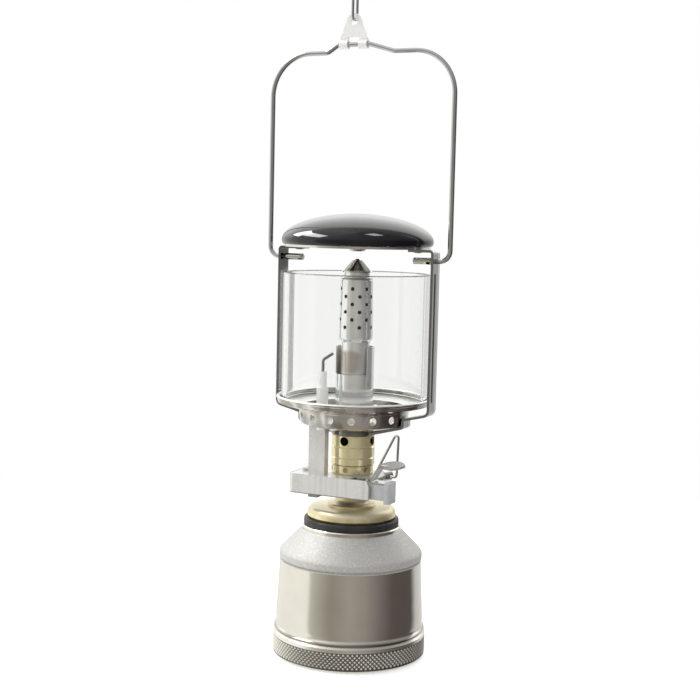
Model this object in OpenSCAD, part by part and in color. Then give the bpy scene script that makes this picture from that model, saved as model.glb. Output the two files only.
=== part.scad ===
// Gas lantern with a small refillable tank, a mantle burner in a glass globe and a wire bail.
// Millimetres. Z is up, Z = 0 is the floor under the base, X runs along the bail's pivot.

/* [Tank] */
// Diameter over the knurled base
base_d = 62.7; // [58:0.1:68]
// Height of the base cap
base_h = 10; // [8.5:0.5:13]
// Step from the base in to the foot of the body
body_step = 0.9; // [0.4:0.1:1.6]
// How much the body's radius shrinks towards the shoulder
body_draft = 1.5; // [0:0.1:2.4]
// Height of the tapered body
body_h = 28.9; // [22:0.5:38]
// Height of the shoulder's upright band
land_h = 2.9; // [2:0.1:5]
// Diameter at the top of the shoulder cone
neck_d = 40.6; // [38:0.2:44]
// Height of the shoulder cone
cone_h = 8.8; // [7:0.2:12]
// Height of the lip over the cone
lip_h = 1.7; // [1.2:0.1:3]
// Wall of the tank
tank_wall = 2.4; // [1.8:0.1:3.2]

/* [Knurl] */
// Diamonds round the base
knurl_count = 108; // [72:2:120]
// Half rows of diamonds up the base
knurl_rows = 8; // [4:2:10]
// Depth of the knurl
knurl_depth = 0.6; // [0.3:0.05:0.9]

/* [Connector] */
// Thickness of the rubber gasket on the tank
gasket_t = 2.9; // [2:0.1:4]
// How far the gasket sits inside the lip
gasket_inset = 0.9; // [0.5:0.1:2]
// How far the brass flange sits inside the gasket
flange_inset = 1.35; // [0.5:0.05:2]
// Thickness of the brass flange
flange_t = 4.5; // [4.2:0.1:6]
// Diameter of the tank's threaded stub
stub_d = 11; // [10:0.1:12]
// Diameter of the hub over the flange
hub_d = 13; // [12:0.1:13.4]
// Height of the hub over the flange
hub_h = 5.7; // [4.5:0.1:8]

/* [Valve] */
// Height of the valve body
valve_h = 7.2; // [7:0.1:9]
// Direction of the spindle, seen from above
spindle_angle = 70; // [60:5:110]
// Diameter of the spindle
spindle_d = 3.2; // [2.6:0.1:3.4]
// How far the spindle reaches out from the centre
spindle_reach = 22; // [20:0.5:26]
// Length of the wire handle
handle_l = 20.6; // [15:0.2:22]
// Width of the wire handle at its feet
handle_w = 12.2; // [10:0.2:13]
// Diameter of the handle's wire
handle_wire = 1.1; // [0.9:0.1:1.5]
// How far the handle leans out at rest
handle_lean = 21; // [15:1:35]

/* [Column] */
// Diameter of the brass air column
column_d = 17.6; // [15.6:0.1:18.4]
// Height of the air column
column_h = 16.4; // [15.6:0.1:20]
// Diameter of each air hole
air_hole_d = 3.7; // [2.6:0.1:4]

/* [Dish] */
// Sheet of the dish
sheet = 0.7; // [0.5:0.05:0.9]
// Diameter of the dish's lower well
well_d = 44; // [40:0.5:47]
// Height of the well's upright wall
well_h = 5; // [4.6:0.1:7]
// Vent holes round the well
vents = 16; // [8:2:20]
// Diameter of each vent hole
vent_d = 3; // [2:0.1:3.4]
// Height of the dish's rim over its ledge
rim_h = 1.6; // [1.2:0.1:3]

/* [Globe] */
// Outside diameter of the glass
globe_d = 59.4; // [56:0.2:64]
// Height of the glass
globe_h = 52.3; // [46:0.5:60]
// Wall of the glass
globe_wall = 1.8; // [1.4:0.1:2.4]
// Play between the glass and the dish's rim
globe_play = 0.8; // [0.5:0.1:1.4]

/* [Burner] */
// Diameter of the plain sleeve
sleeve_d = 15.5; // [14.6:0.1:16.4]
// Height of the plain sleeve
sleeve_h = 30.5; // [26:0.5:34]
// Depth of the window in the sleeve's front
window_h = 11; // [8:0.5:14]
// Diameter of the perforated tube at its foot
tube_d = 14; // [13.4:0.1:15]
// How much the perforated tube's radius shrinks upward
tube_taper = 0.45; // [0:0.05:0.8]
// Height of the perforated part
tube_h = 23.9; // [20:0.1:26]
// Rows of flame holes
hole_rows = 6; // [4:1:7]
// Flame holes in each row
hole_count = 7; // [5:1:10]
// Diameter of a flame hole
hole_d = 1.5; // [1:0.1:1.9]
// Height of the crimped cone on the burner
cap_h = 5.4; // [4:0.1:6]
// Pleats round the crimped cone
cap_folds = 4; // [3:1:6]

/* [Frame] */
// Width of the strap
strap_w = 7; // [5.6:0.2:8]
// Thickness of the strap
strap_t = 1; // [0.8:0.1:1.2]
// Gap between the glass and the strap's uprights
strap_gap = 3.5; // [2.9:0.1:5]

/* [Hood] */
// Gap between the glass and the hood's plate
hood_gap = 10.1; // [9.6:0.1:13]
// Outside diameter of the hood
hood_d = 61.2; // [59.6:0.2:66]
// Rise of the hood over its widest line
dome_h = 11; // [8:0.1:14]
// Depth of the hood's rim under its widest line
rim_drop = 1.8; // [1.2:0.1:3]
// Sheet of the hood
hood_sheet = 0.6; // [0.5:0.05:0.9]
// Thickness of the bright plate under the hood
plate_t = 0.9; // [0.7:0.05:1.2]

/* [Bail] */
// Diameter of the bail's wire
bail_d = 2; // [1.7:0.1:2.2]
// Gap from a strap upright to the wire's centre
bail_gap = 5.6; // [4.8:0.1:8]
// Rise from the pivot to the bail's shoulders
bail_rise = 81.9; // [70:0.5:100]
// Radius of the bail's top corners
bail_corner = 17; // [12:0.5:20]
// Height of the hump that the link sits on
hump_h = 3; // [2:0.1:5]
// Length of the hump's flat
hump_l = 14; // [13.6:0.2:18]
// How far the hump stands to the left of the middle
hump_off = 3.6; // [0:0.1:5]

/* [Hanger] */
// Height of the hanger link over the bail's wire
link_h = 12.2; // [11:0.1:15]
// Width of the hanger link
link_w = 12; // [10:0.2:12.6]
// Thickness of the hanger link
link_t = 0.8; // [0.6:0.1:1.2]
// Diameter of the hook's wire
hook_wire = 1.2; // [1:0.1:1.4]
// Length of the hook's double shank
hook_shank = 12; // [9:0.5:18]
// Radius of the hook's crook
crook_r = 5.2; // [4.6:0.1:7]

/* [Igniter] */
// How far the housing reaches to the left
house_left = 21.5; // [20:0.5:24]
// How far the housing reaches to the right
house_right = 14.7; // [14:0.1:17]
// Distance of the housing's front from the centre
house_front = 15; // [14.6:0.1:17]
// Sheet of the housing
house_t = 0.8; // [0.6:0.05:1]
// Travel of the button
button_travel = 4; // [3:0.1:4.2]
// Thickness of the button's head
button_l = 2.4; // [2:0.1:4]
// Length of the button's neck that shows
neck_show = 5.8; // [5:0.1:7]
// Rise of the thumb tab over the button
tab_rise = 7; // [5:0.1:9]
// Width of the lead cover
cover_w = 7.2; // [5.4:0.1:8]
// Depth of the lead cover
cover_d = 3.4; // [3:0.1:4]

/* [Fits] */
// Radial clearance of a running fit
run_fit = 0.06; // [0.03:0.01:0.1]
// Radial clearance of a fixed fit
fixed_fit = 0.03; // [0.02:0.01:0.06]
// Clearance between pieces that slide past each other
slide_gap = 0.5; // [0.35:0.05:0.6]

/* [Hidden] */
$fn = 64;

steel = [0.78, 0.78, 0.77];
dull_steel = [0.66, 0.66, 0.65];
aluminium = [0.72, 0.71, 0.68];
brass = [0.83, 0.76, 0.52];
rubber = [0.08, 0.08, 0.08];
enamel = [0.05, 0.05, 0.05];
ceramic = [0.95, 0.95, 0.93];
plastic = [0.55, 0.57, 0.59];
clear = [0.9, 0.95, 0.95, 0.35];

// Radii and heights of the tank, each from the piece under it
base_r = base_d / 2;
body_r0 = base_r - body_step;
body_r1 = body_r0 - body_draft;
land_r = body_r1 + 0.3;
neck_r = neck_d / 2;
bore_r = body_r1 - tank_wall;
spigot_r = bore_r - fixed_fit;
spigot_h = 6;
groove_h = 0.8;
z_groove = base_h + body_h;
z_land = z_groove + groove_h;
z_cone = z_land + land_h;
z_lip = z_cone + cone_h;
z_top = z_lip + lip_h;
top_wall = 4;
stub_r = stub_d / 2;
stub_h = 6.2;
valve_depth = 8;
spring_depth = 6;
valve_seat_r = stub_r + 2.4;
spring_bore_r = 3;
spring_wire = 0.6;
stem_r = 1.2;
stem_head_r = 2.6;
stem_head_z = z_top + 2.4;

// The gasket, the brass flange and the valve block
gasket_r = neck_r - gasket_inset;
flange_r = gasket_r - flange_inset;
hub_r = hub_d / 2;
z_gasket = z_top + gasket_t;
z_flange = z_gasket + flange_t;
z_hub = z_flange + hub_h;
z_house = z_hub + valve_h;
z_plate = z_house + house_t;
socket_top = z_top + stub_h + 0.3;
oring_r = 0.7;
stud_r = 5;
stud_h = 6;
gas_r = 1.2;

// The spindle and its handle
spindle_r = spindle_d / 2;
boss_r = valve_h / 2 - 0.7;
z_spindle = z_house - boss_r - 0.1;
boss_end = 10.8;
gland_l = 3.6;
gland_flats = 7;
collar_r = spindle_r + 0.7;
handle_pin = spindle_reach - 2.2;

// The column over the plate
column_r = column_d / 2;
z_column = z_plate + column_h;
mix_r = 4.2;
spigot_top = 6;
neck_spigot_r = 4.5;
z_air = z_column - 2.6;
jet_thread_r = 2;

// The strap, the dish and the globe on the column
globe_r = globe_d / 2;
strap_in = globe_r + strap_gap;
strap_mid = strap_in + strap_t / 2;
strap_out = strap_in + strap_t;
z_strap = z_column + strap_t;
z_floor = z_strap + sheet;
well_r = well_d / 2;
flat_r = column_r + 0.5;
well_slope = 14.7;
z_well = z_strap + (well_r - 1 - flat_r) * tan(well_slope);
z_step = z_well + 1.2 + well_h;
rim_r = globe_r + globe_play + sheet;
ledge_rise = 1.6;
z_ledge = z_step + ledge_rise;
z_rim = z_ledge + 1 + rim_h;
z_globe = z_ledge + sheet + 0.05;
z_globe_top = z_globe + globe_h;

// The hood and the bail's pivot
z_hood_plate = z_globe_top + hood_gap;
z_hood = z_hood_plate + plate_t;
z_dome = z_hood + rim_drop;
hood_r = hood_d / 2;
hood_plate_r = hood_r - 1.2;
z_pivot = z_hood_plate - 4.4;
strap_rivet_r = 1.2;
strap_rivet_x = hood_plate_r - strap_rivet_r - 2;
tab_l = strap_mid - strap_rivet_x + strap_rivet_r + 1.6;
hood_head_r = 3.4;

// The burner
hex_flats = 16;
nut_hex_h = 3.1;
nut_boss_h = 4.6;
sleeve_r = sleeve_d / 2;
sleeve_wall = 0.45;
z_sleeve = z_floor + nut_hex_h;
z_sleeve_top = z_sleeve + sleeve_h;
nut_boss_r = sleeve_r - sleeve_wall - fixed_fit;
low_tube_r = nut_boss_r - 1;
tube_wall = 0.5;
tube_r0 = tube_d / 2;
tube_r1 = tube_r0 - tube_taper;
waist_r = low_tube_r - 0.45;
z_neck = z_sleeve_top - window_h - 1;
z_tube_foot = z_sleeve + 1;
z_waist = z_sleeve_top + 2;
z_perf = z_waist + 1.6;
z_perf_top = z_perf + tube_h;
neck_tube_r = tube_r1 - 1.3;
z_brim = z_perf_top + 2.4;

// The bail, the link and the hook
bail_r = bail_d / 2;
leg_x = strap_out + bail_gap;
z_shoulder = z_pivot + bail_rise;
z_hump = z_shoulder + hump_h;
pin_end = strap_in - 8;
ferrule_r = bail_r + 0.35;
knuckle_r = bail_r + run_fit + 0.75;
knuckle_l = 3.6;
link_hole_r = hook_wire + 0.15;
z_link_hole = z_hump + link_h - link_hole_r - 1.9;
z_hook = z_link_hole + link_hole_r - hook_wire / 2 - run_fit;
hook_leg = 2;

// The igniter
z_skirt = z_hub + 0.1;
house_in = house_front - house_t;
piezo_back = hub_r + 0.4;
piezo_top = z_house - 0.05;
piezo_right = house_right - button_travel - 5.6;
slot_back = piezo_back + 0.2;
stem_back = slot_back + slide_gap;
stem_front = house_in - slide_gap;
stem_left = piezo_right + button_travel + slide_gap;
stem_top = z_house - slide_gap;
stem_low = z_skirt + slide_gap;
head_left = house_right + neck_show;
head_right = head_left + button_l;
plunger_r = 1.8;
stem_mid = (stem_back + stem_front) / 2;
stem_mid_z = (stem_top + stem_low) / 2;
electrode_at = [-9.2, -house_front + 4.6];
electrode_d = 1.2;
cover_x = electrode_at.x - 1.3;
insulator_r = 2.4;
lead_r = 0.8;
z_insulator = z_strap + (norm(electrode_at) - flat_r) * tan(well_slope) - 0.4;
z_tip = z_sleeve_top - 2.8;

// The point at distance r from the Z axis, at height z
function lift(r, z) = [r, z];

// An arc of points from angle a to b about c
function arc(c, r, a, b, n) = [for (i = [0:n]) c + r * [cos(a + (b - a) * i / n), sin(a + (b - a) * i / n)]];

function unit(v) = v / norm(v);

// The signed turn, in degrees, between two directions in a plane
function turn(a, b) = atan2(a.x * b.y - a.y * b.x, a.x * b.x + a.y * b.y);

// The direction from point i to the next one
function heading(p, i) = unit(p[i + 1] - p[i]);

// How much of each leg the bend at point i takes up
function bend_cut(p, bends, i) =
    i <= 0 || i >= len(p) - 1 ? 0 : bends[i] * tan(abs(turn(heading(p, i - 1), heading(p, i))) / 2);

// A round wire bent in the XY plane: straight legs, with a true arc let a little way into each leg
module bent_wire(p, bends, d) {
    let_in = 0.1;
    for (i = [0:len(p) - 2]) {
        way = heading(p, i);
        from = p[i] + way * bend_cut(p, bends, i);
        to = p[i + 1] - way * bend_cut(p, bends, i + 1);
        translate([from.x, from.y, 0])
            rotate([0, 0, atan2(way.y, way.x)])
                rotate([0, 90, 0])
                    cylinder(h = norm(to - from), d = d);
    }
    for (i = [1:len(p) - 2]) {
        way = heading(p, i - 1);
        swing = turn(way, heading(p, i));
        side = swing > 0 ? 1 : -1;
        more = let_in / bends[i] * 180 / PI;
        start = p[i] - way * bend_cut(p, bends, i);
        centre = start + side * bends[i] * [-way.y, way.x];
        translate([centre.x, centre.y, 0])
            rotate([0, 0, atan2(way.y, way.x) - side * (90 + more)])
                rotate_extrude(angle = swing + side * 2 * more)
                    translate([bends[i], 0])
                        circle(d = d - 0.03);
    }
}

// A cylinder along the spindle, from a to b out from the centre
module along_spindle(a, b, r, sides = 64) {
    translate([0, 0, z_spindle])
        rotate([0, 0, spindle_angle])
            translate([a, 0, 0])
                rotate([0, 90, 0])
                    cylinder(h = b - a, r = r, $fn = sides);
}

// The points of a path with each corner rounded to its own radius
function round_path(p, r, n) = [
    p[0],
    for (i = [1:len(p) - 2])
        let (
            way = heading(p, i - 1),
            swing = turn(way, heading(p, i)),
            side = swing > 0 ? 1 : -1,
            start = p[i] - way * r[i] * tan(abs(swing) / 2),
            hub = start + side * r[i] * [-way.y, way.x],
            a0 = atan2(start.y - hub.y, start.x - hub.x)
        )
            each [for (k = [0:n]) hub + r[i] * [cos(a0 + swing * k / n), sin(a0 + swing * k / n)]],
    p[len(p) - 1]
];

// The side direction at point i of a path, long enough to keep the sheet's thickness
function side_at(p, i) =
    let (
        a = i == 0 ? heading(p, 0) : heading(p, i - 1),
        b = i == len(p) - 1 ? heading(p, i - 1) : heading(p, i),
        mid = unit(a + b)
    )
        [-mid.y, mid.x] / (mid * a);

// A bent sheet in the XZ plane along a path, its width along Y
module bent_sheet(p, w, t) {
    last = len(p) - 1;
    translate([0, w / 2, 0])
        rotate([90, 0, 0])
            linear_extrude(w)
                polygon(concat(
                    [for (i = [0:last]) p[i] + side_at(p, i) * t / 2],
                    [for (i = [last:-1:0]) p[i] - side_at(p, i) * t / 2]
                ));
}

// A drum with a diamond knurl, from z0 to z1
module knurl_drum(r, depth, z0, z1) {
    cols = knurl_count * 2;
    rows = knurl_rows;
    function at(i, j) = j * cols + (i + cols) % cols;
    function high(i, j) = j > 0 && j < rows && (i + j) % 2 == 0;
    points = [
        for (j = [0:rows]) for (i = [0:cols - 1])
            let (rr = high(i, j) ? r : r - depth, a = 360 * i / cols)
                [rr * cos(a), rr * sin(a), z0 + (z1 - z0) * j / rows]
    ];
    left_slant = [
        for (j = [0:rows - 1]) for (i = [0:cols - 1]) if ((i + j) % 2 == 0)
            each [[at(i, j), at(i, j + 1), at(i + 1, j)], [at(i + 1, j), at(i, j + 1), at(i + 1, j + 1)]]
    ];
    right_slant = [
        for (j = [0:rows - 1]) for (i = [0:cols - 1]) if ((i + j) % 2 == 1)
            each [[at(i, j), at(i, j + 1), at(i + 1, j + 1)], [at(i, j), at(i + 1, j + 1), at(i + 1, j)]]
    ];
    floor_face = [for (i = [0:cols - 1]) at(i, 0)];
    roof_face = [for (i = [cols - 1:-1:0]) at(i, rows)];
    polyhedron(points, concat(left_slant, right_slant, [floor_face, roof_face]));
}

// The spring's centre line, and the least gap between two of its turns
spring_turns = 5;
spring_steps = 20;
spring_sides = 6;
spring_low = z_top - spring_depth + spring_wire / 2 + 0.02;
spring_high = stem_head_z - spring_wire / 2 - 0.02;
spring_mean_r = 2.2;
spring_line = [
    for (i = [0:spring_turns * spring_steps])
        let (a = 360 * i / spring_steps, s = i / (spring_turns * spring_steps))
            [spring_mean_r * cos(a), spring_mean_r * sin(a), spring_low + (spring_high - spring_low) * s]
];
spring_gap = min([
    for (i = [0:len(spring_line) - 1])
        for (j = [i + floor(spring_steps / 2):len(spring_line) - 1])
            norm(spring_line[i] - spring_line[j])
]) - spring_wire;
echo(spring_least_gap = spring_gap);

// One unbroken tube along a helix
module spring_tube() {
    last = len(spring_line) - 1;
    points = [
        for (i = [0:last]) for (k = [0:spring_sides - 1])
            let (
                a = 360 * i / spring_steps,
                out = [cos(a), sin(a), 0],
                b = 360 * k / spring_sides
            )
                spring_line[i] + spring_wire / 2 * (cos(b) * out + sin(b) * [0, 0, 1])
    ];
    function at(i, k) = i * spring_sides + k % spring_sides;
    skin = [
        for (i = [0:last - 1]) for (k = [0:spring_sides - 1])
            each [[at(i, k), at(i + 1, k), at(i + 1, k + 1)], [at(i, k), at(i + 1, k + 1), at(i, k + 1)]]
    ];
    near_end = [for (k = [0:spring_sides - 1]) at(0, k)];
    far_end = [for (k = [spring_sides - 1:-1:0]) at(last, k)];
    polyhedron(points, concat(skin, [near_end, far_end]));
}

// Tank: a turned shell, tapered, with a grooved shoulder, a cone and a lip
module tank_body() {
    cove_h = 2.6;
    color(aluminium)
        difference() {
            rotate_extrude()
                polygon(concat(
                    [lift(bore_r - 1, base_h), lift(body_r0, base_h)],
                    arc(lift(body_r0 + 1.9, base_h + 3.2), 2.6, 234, 190, 6),
                    [
                        lift(body_r0 - body_draft * 0.2, base_h + cove_h + 2),
                        lift(body_r1, z_groove),
                        lift(body_r1 - 0.5, z_groove + 0.25),
                        lift(body_r1 - 0.5, z_land - 0.2),
                        lift(land_r - 0.25, z_land),
                        lift(land_r, z_land + 0.25),
                        lift(land_r, z_cone - 0.9),
                        lift(land_r - 0.3, z_cone - 0.15),
                        lift(land_r - 1, z_cone + 0.7),
                        lift(neck_r, z_lip),
                        lift(neck_r - 0.5, z_lip + 0.1),
                        lift(neck_r - 0.5, z_lip + 0.5),
                        lift(neck_r - 0.1, z_lip + 0.7),
                        lift(neck_r - 0.1, z_top - 0.4),
                        lift(neck_r - 0.5, z_top),
                        lift(1, z_top),
                        lift(1, z_top - top_wall),
                        lift(bore_r - 8, z_top - top_wall - 1)
                    ]
                ));
            rotate_extrude()
                polygon([
                    lift(0, base_h - 1),
                    lift(bore_r, base_h - 1),
                    lift(bore_r, z_cone - 0.6),
                    lift(neck_r - 1.2, z_top - top_wall - 0.6),
                    lift(neck_r - 2.4, z_top - top_wall),
                    lift(0, z_top - top_wall)
                ]);
            translate([0, 0, z_top - top_wall - 1])
                cylinder(h = top_wall + 2, r = valve_seat_r + fixed_fit);
        }
}

// Base: a screw-on closure with a diamond knurl, which the lantern stands on
module base_cap() {
    k0 = 0.9;
    k1 = base_h - 2;
    root_r = base_r - knurl_depth;
    color(aluminium)
        difference() {
            union() {
                rotate_extrude()
                    polygon([
                        lift(0, 0), lift(base_r - 1.1, 0), lift(base_r - 0.2, k0 - 0.1),
                        lift(base_r - 0.2, k0), lift(0, k0)
                    ]);
                knurl_drum(base_r, knurl_depth, k0, k1);
                rotate_extrude()
                    polygon([
                        lift(0, k1), lift(base_r - 0.15, k1), lift(base_r - 0.15, base_h - 0.7),
                        lift(base_r - 0.75, base_h), lift(spigot_r, base_h),
                        lift(spigot_r, base_h + spigot_h - 0.5),
                        lift(spigot_r - 0.5, base_h + spigot_h), lift(0, base_h + spigot_h)
                    ]);
            }
            translate([0, 0, 3])
                cylinder(h = base_h + spigot_h, r = spigot_r - 3.4);
            translate([0, 0, -1])
                cylinder(h = 1.7, r1 = base_r - 3.2, r2 = base_r - 4.6);
            translate([0, 0, base_h + 2.2])
                rotate_extrude()
                    translate([spigot_r - 1.25, 0])
                        square([3, 2]);
        }
}

// Rubber ring in the base cap's groove
module base_oring() {
    color(rubber)
        translate([0, 0, base_h + 3.2])
            rotate_extrude()
                translate([spigot_r - 0.62, 0])
                    circle(r = 0.6);
}

// Brass valve in the tank's top, with the stub that the burner screws on to
module tank_valve() {
    color(brass)
        difference() {
            rotate_extrude()
                polygon([
                    lift(0, z_top - valve_depth), lift(valve_seat_r + 2, z_top - valve_depth),
                    lift(valve_seat_r + 2, z_top - top_wall), lift(valve_seat_r, z_top - top_wall),
                    lift(valve_seat_r, z_top), lift(stub_r, z_top),
                    lift(stub_r, z_top + stub_h - 0.5), lift(stub_r - 0.5, z_top + stub_h),
                    lift(0, z_top + stub_h)
                ]);
            translate([0, 0, z_top - spring_depth])
                cylinder(h = spring_depth + stub_h - 2, r = spring_bore_r);
            translate([0, 0, z_top])
                cylinder(h = stub_h + 1, r = stem_r + 0.4);
            translate([0, 0, z_top - valve_depth - 1])
                cylinder(h = valve_depth - spring_depth + 2, r = 0.9);
        }
}

// The stem that opens the tank's valve
module tank_valve_stem() {
    color(steel)
        union() {
            translate([0, 0, stem_head_z])
                cylinder(h = 1.5, r = stem_head_r);
            translate([0, 0, stem_head_z])
                cylinder(h = stub_h - 2.8, r = stem_r);
        }
}

// The spring under the stem
module tank_valve_spring() {
    color(steel)
        spring_tube();
}

// Rubber gasket between the tank and the burner
module tank_gasket() {
    color(rubber)
        rotate_extrude()
            polygon([
                lift(valve_seat_r + 1, z_top), lift(gasket_r - 0.35, z_top), lift(gasket_r, z_top + 0.5),
                lift(gasket_r, z_gasket - 0.5), lift(gasket_r - 0.4, z_gasket),
                lift(valve_seat_r + 1, z_gasket)
            ]);
}

// Brass flange and hub that screw on to the tank's stub
module connector_flange() {
    edge = 2.6;
    boss = hub_r + 3.2;
    color(brass)
        difference() {
            rotate_extrude()
                polygon(concat(
                    [lift(0, z_gasket), lift(flange_r - 0.9, z_gasket), lift(flange_r, z_gasket + 0.9)],
                    arc(lift(flange_r - edge, z_flange - edge), edge, 0, 90, 8),
                    [
                        lift(boss, z_flange), lift(boss, z_flange + 0.9),
                        lift(boss - 0.4, z_flange + 1.3), lift(hub_r + 1.8, z_flange + 1.3)
                    ],
                    arc(lift(hub_r + 1.8, z_flange + 3.1), 1.8, 270, 180, 6),
                    [lift(hub_r, z_hub), lift(0, z_hub)]
                ));
            translate([0, 0, z_gasket - 1])
                cylinder(h = socket_top - z_gasket + 1, r = stub_r + fixed_fit);
            translate([0, 0, z_top + stub_h - 2.2])
                cylinder(h = 2 * oring_r + 0.1, r = stub_r + 2 * oring_r);
            translate([0, 0, z_gasket])
                cylinder(h = z_hub - z_gasket + 1, r = gas_r);
        }
}

// Rubber ring that seals the stub in the hub
module connector_oring() {
    color(rubber)
        translate([0, 0, z_top + stub_h - 2.2 + oring_r + 0.05])
            rotate_extrude()
                translate([stub_r + oring_r, 0])
                    circle(r = oring_r - 0.02);
}

// Brass valve block, with the spindle's boss and the stud that carries the column
module valve_body() {
    color(brass)
        difference() {
            union() {
                translate([0, 0, z_hub])
                    cylinder(h = z_house - z_hub, r = hub_r);
                translate([0, 0, z_house])
                    cylinder(h = house_t + stud_h, r = stud_r);
                along_spindle(2, boss_end, boss_r);
            }
            translate([0, 0, z_hub - 1])
                cylinder(h = z_plate + stud_h - z_hub + 2, r = gas_r);
            translate([0, 0, z_plate + stud_h - 4])
                cylinder(h = 5, r = jet_thread_r + fixed_fit);
            along_spindle(0, boss_end + 1, spindle_r + run_fit);
        }
}

// Brass gas jet on the stud
module gas_jet() {
    color(brass)
        translate([0, 0, z_plate + stud_h])
            difference() {
                union() {
                    translate([0, 0, -3.6])
                        cylinder(h = 3.6, r = jet_thread_r);
                    cylinder(h = 2.2, r = 2.9, $fn = 6);
                    translate([0, 0, 2.2])
                        cylinder(h = 2.4, r1 = 2, r2 = 1.1);
                }
                translate([0, 0, -4])
                    cylinder(h = 7.6, r = 0.8);
                cylinder(h = 6, r = 0.3);
            }
}

// Brass column that mixes gas and air, with four air holes
module air_column() {
    low_r = column_r - 0.35;
    ring1 = z_plate + 4;
    ring2 = ring1 + 2.9;
    ring3 = ring2 + 4.4;
    cut = 0.35;
    color(brass)
        difference() {
            rotate_extrude()
                polygon([
                    lift(0, z_plate), lift(low_r - 0.4, z_plate), lift(low_r, z_plate + 0.4),
                    lift(low_r, ring1 - 0.5), lift(low_r - 0.5, ring1 - 0.4), lift(low_r - 0.5, ring1),
                    lift(column_r, ring1), lift(column_r, ring2 - cut), lift(column_r - cut, ring2),
                    lift(column_r, ring2 + cut), lift(column_r, ring3 - cut), lift(column_r - cut, ring3),
                    lift(column_r - 0.1, ring3 + cut), lift(column_r - 0.1, z_column - 0.6),
                    lift(column_r - 0.7, z_column), lift(neck_spigot_r, z_column),
                    lift(neck_spigot_r, z_floor + spigot_top - 0.4),
                    lift(neck_spigot_r - 0.4, z_floor + spigot_top), lift(0, z_floor + spigot_top)
                ]);
            translate([0, 0, z_plate - 1])
                cylinder(h = stud_h + 1, r = stud_r + fixed_fit);
            translate([0, 0, z_plate])
                cylinder(h = column_h - 1.4, r = mix_r);
            translate([0, 0, z_plate])
                cylinder(h = 2 * column_h, r = neck_spigot_r - 1.2);
            for (a = [0, 90])
                translate([0, 0, z_air])
                    rotate([0, 0, a])
                        rotate([0, 90, 0])
                            translate([0, 0, -20])
                                cylinder(h = 40, d = air_hole_d);
            for (a = [5, 65, 125, 185, 245, 305])
                rotate([0, 0, a])
                    translate([0, -low_r, z_plate + 2.1])
                        rotate([90, 0, 0])
                            cylinder(h = 1, r = 1.1, center = true);
        }
}

// Steel needle spindle, cross-drilled for the handle
module valve_spindle() {
    color(steel)
        difference() {
            union() {
                along_spindle(2.6, spindle_reach, spindle_r);
                along_spindle(handle_pin - 2.2, spindle_reach, collar_r);
                translate([0, 0, z_spindle])
                    rotate([0, 0, spindle_angle])
                        translate([0.8, 0, 0])
                            rotate([0, 90, 0])
                                cylinder(h = 1.8, r1 = 0.4, r2 = spindle_r - 0.3);
            }
            translate([0, 0, z_spindle])
                rotate([0, 0, spindle_angle])
                    translate([handle_pin, 0, 0])
                        rotate([90, 0, 0])
                            cylinder(h = 20, r = handle_wire / 2 + run_fit, center = true);
        }
}

// Rubber ring round the spindle in its gland
module spindle_oring() {
    color(rubber)
        translate([0, 0, z_spindle])
            rotate([0, 0, spindle_angle])
                translate([boss_end + 0.6, 0, 0])
                    rotate([0, 90, 0])
                        rotate_extrude()
                            translate([spindle_r + 0.5, 0])
                                circle(r = 0.45);
}

// Brass gland nut on the valve's boss
module gland_nut() {
    color(brass)
        difference() {
            along_spindle(boss_end, boss_end + gland_l, gland_flats / 2 / cos(30), 6);
            along_spindle(boss_end - 1, boss_end + gland_l + 1, spindle_r + run_fit);
            along_spindle(boss_end - 1, boss_end + 1.2, spindle_r + 1);
        }
}

// Wire handle, hooked into the spindle's cross hole
module valve_handle() {
    foot = handle_w / 2;
    color(steel)
        translate([0, 0, z_spindle])
            rotate([0, 0, spindle_angle])
                translate([handle_pin, 0, 0])
                    rotate([0, handle_lean, 0])
                        rotate([90, 0, 90])
                            bent_wire(
                                [[0.4, 0], [foot, 0], [0, handle_l], [-foot, 0], [-0.4, 0]],
                                [0, 1.1, 1.3, 1.1, 0],
                                handle_wire
                            );
}

// Sheet housing: a plate clamped under the column, with a skirt round the igniter
module igniter_housing() {
    back = 9;
    low = z_skirt;
    bend = 1.8;
    color(dull_steel)
        difference() {
            intersection() {
                union() {
                    translate([0, 0, z_house])
                        linear_extrude(house_t)
                            polygon([
                                [-house_left, -house_front], [house_right - 2.2, -house_front],
                                [house_right - 2.2, -house_in], [house_right, -slot_back],
                                [house_right, 0], [9.5, back], [-house_left + 6, back], [-house_left, back - 6]
                            ]);
                    translate([0, -house_in, 0])
                        rotate([90, 0, 0])
                            linear_extrude(house_t)
                                polygon([
                                    [-house_left, low], [house_right - 1, low], [house_right, low + 1],
                                    [house_right, z_plate - 2.6], [house_right - 2.2, z_plate],
                                    [-house_left, z_plate]
                                ]);
                    translate([-house_left, -house_front, low])
                        cube([house_t, house_front - piezo_back, z_house - low + 0.1]);
                    translate([-12.5, -house_front, low - 1])
                        cube([4, house_t, 2]);
                    translate([-12.5, -house_front, low - 1])
                        cube([4, 4, 0.8]);
                }
                translate([0, 0, low - 2])
                    linear_extrude(z_plate - low + 4)
                        polygon(concat(
                            arc([bend - house_left, bend - house_front], bend, 180, 270, 5),
                            [[house_right, -house_front], [house_right, back], [-house_left, back]]
                        ));
            }
            translate([0, 0, z_house - 1])
                cylinder(h = house_t + 2, r = stud_r + fixed_fit);
            translate([stem_left - button_travel - 1.2, -house_in, z_house - 0.5])
                cube([40, house_in - slot_back, house_t + 1]);
            translate([electrode_at.x, electrode_at.y, z_house - 1])
                cylinder(h = house_t + 2, r = lead_r + fixed_fit);
            translate([-house_left + 3.4, -6, z_house - 1])
                cylinder(h = house_t + 2, r = 0.9 + fixed_fit);
        }
}

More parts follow.
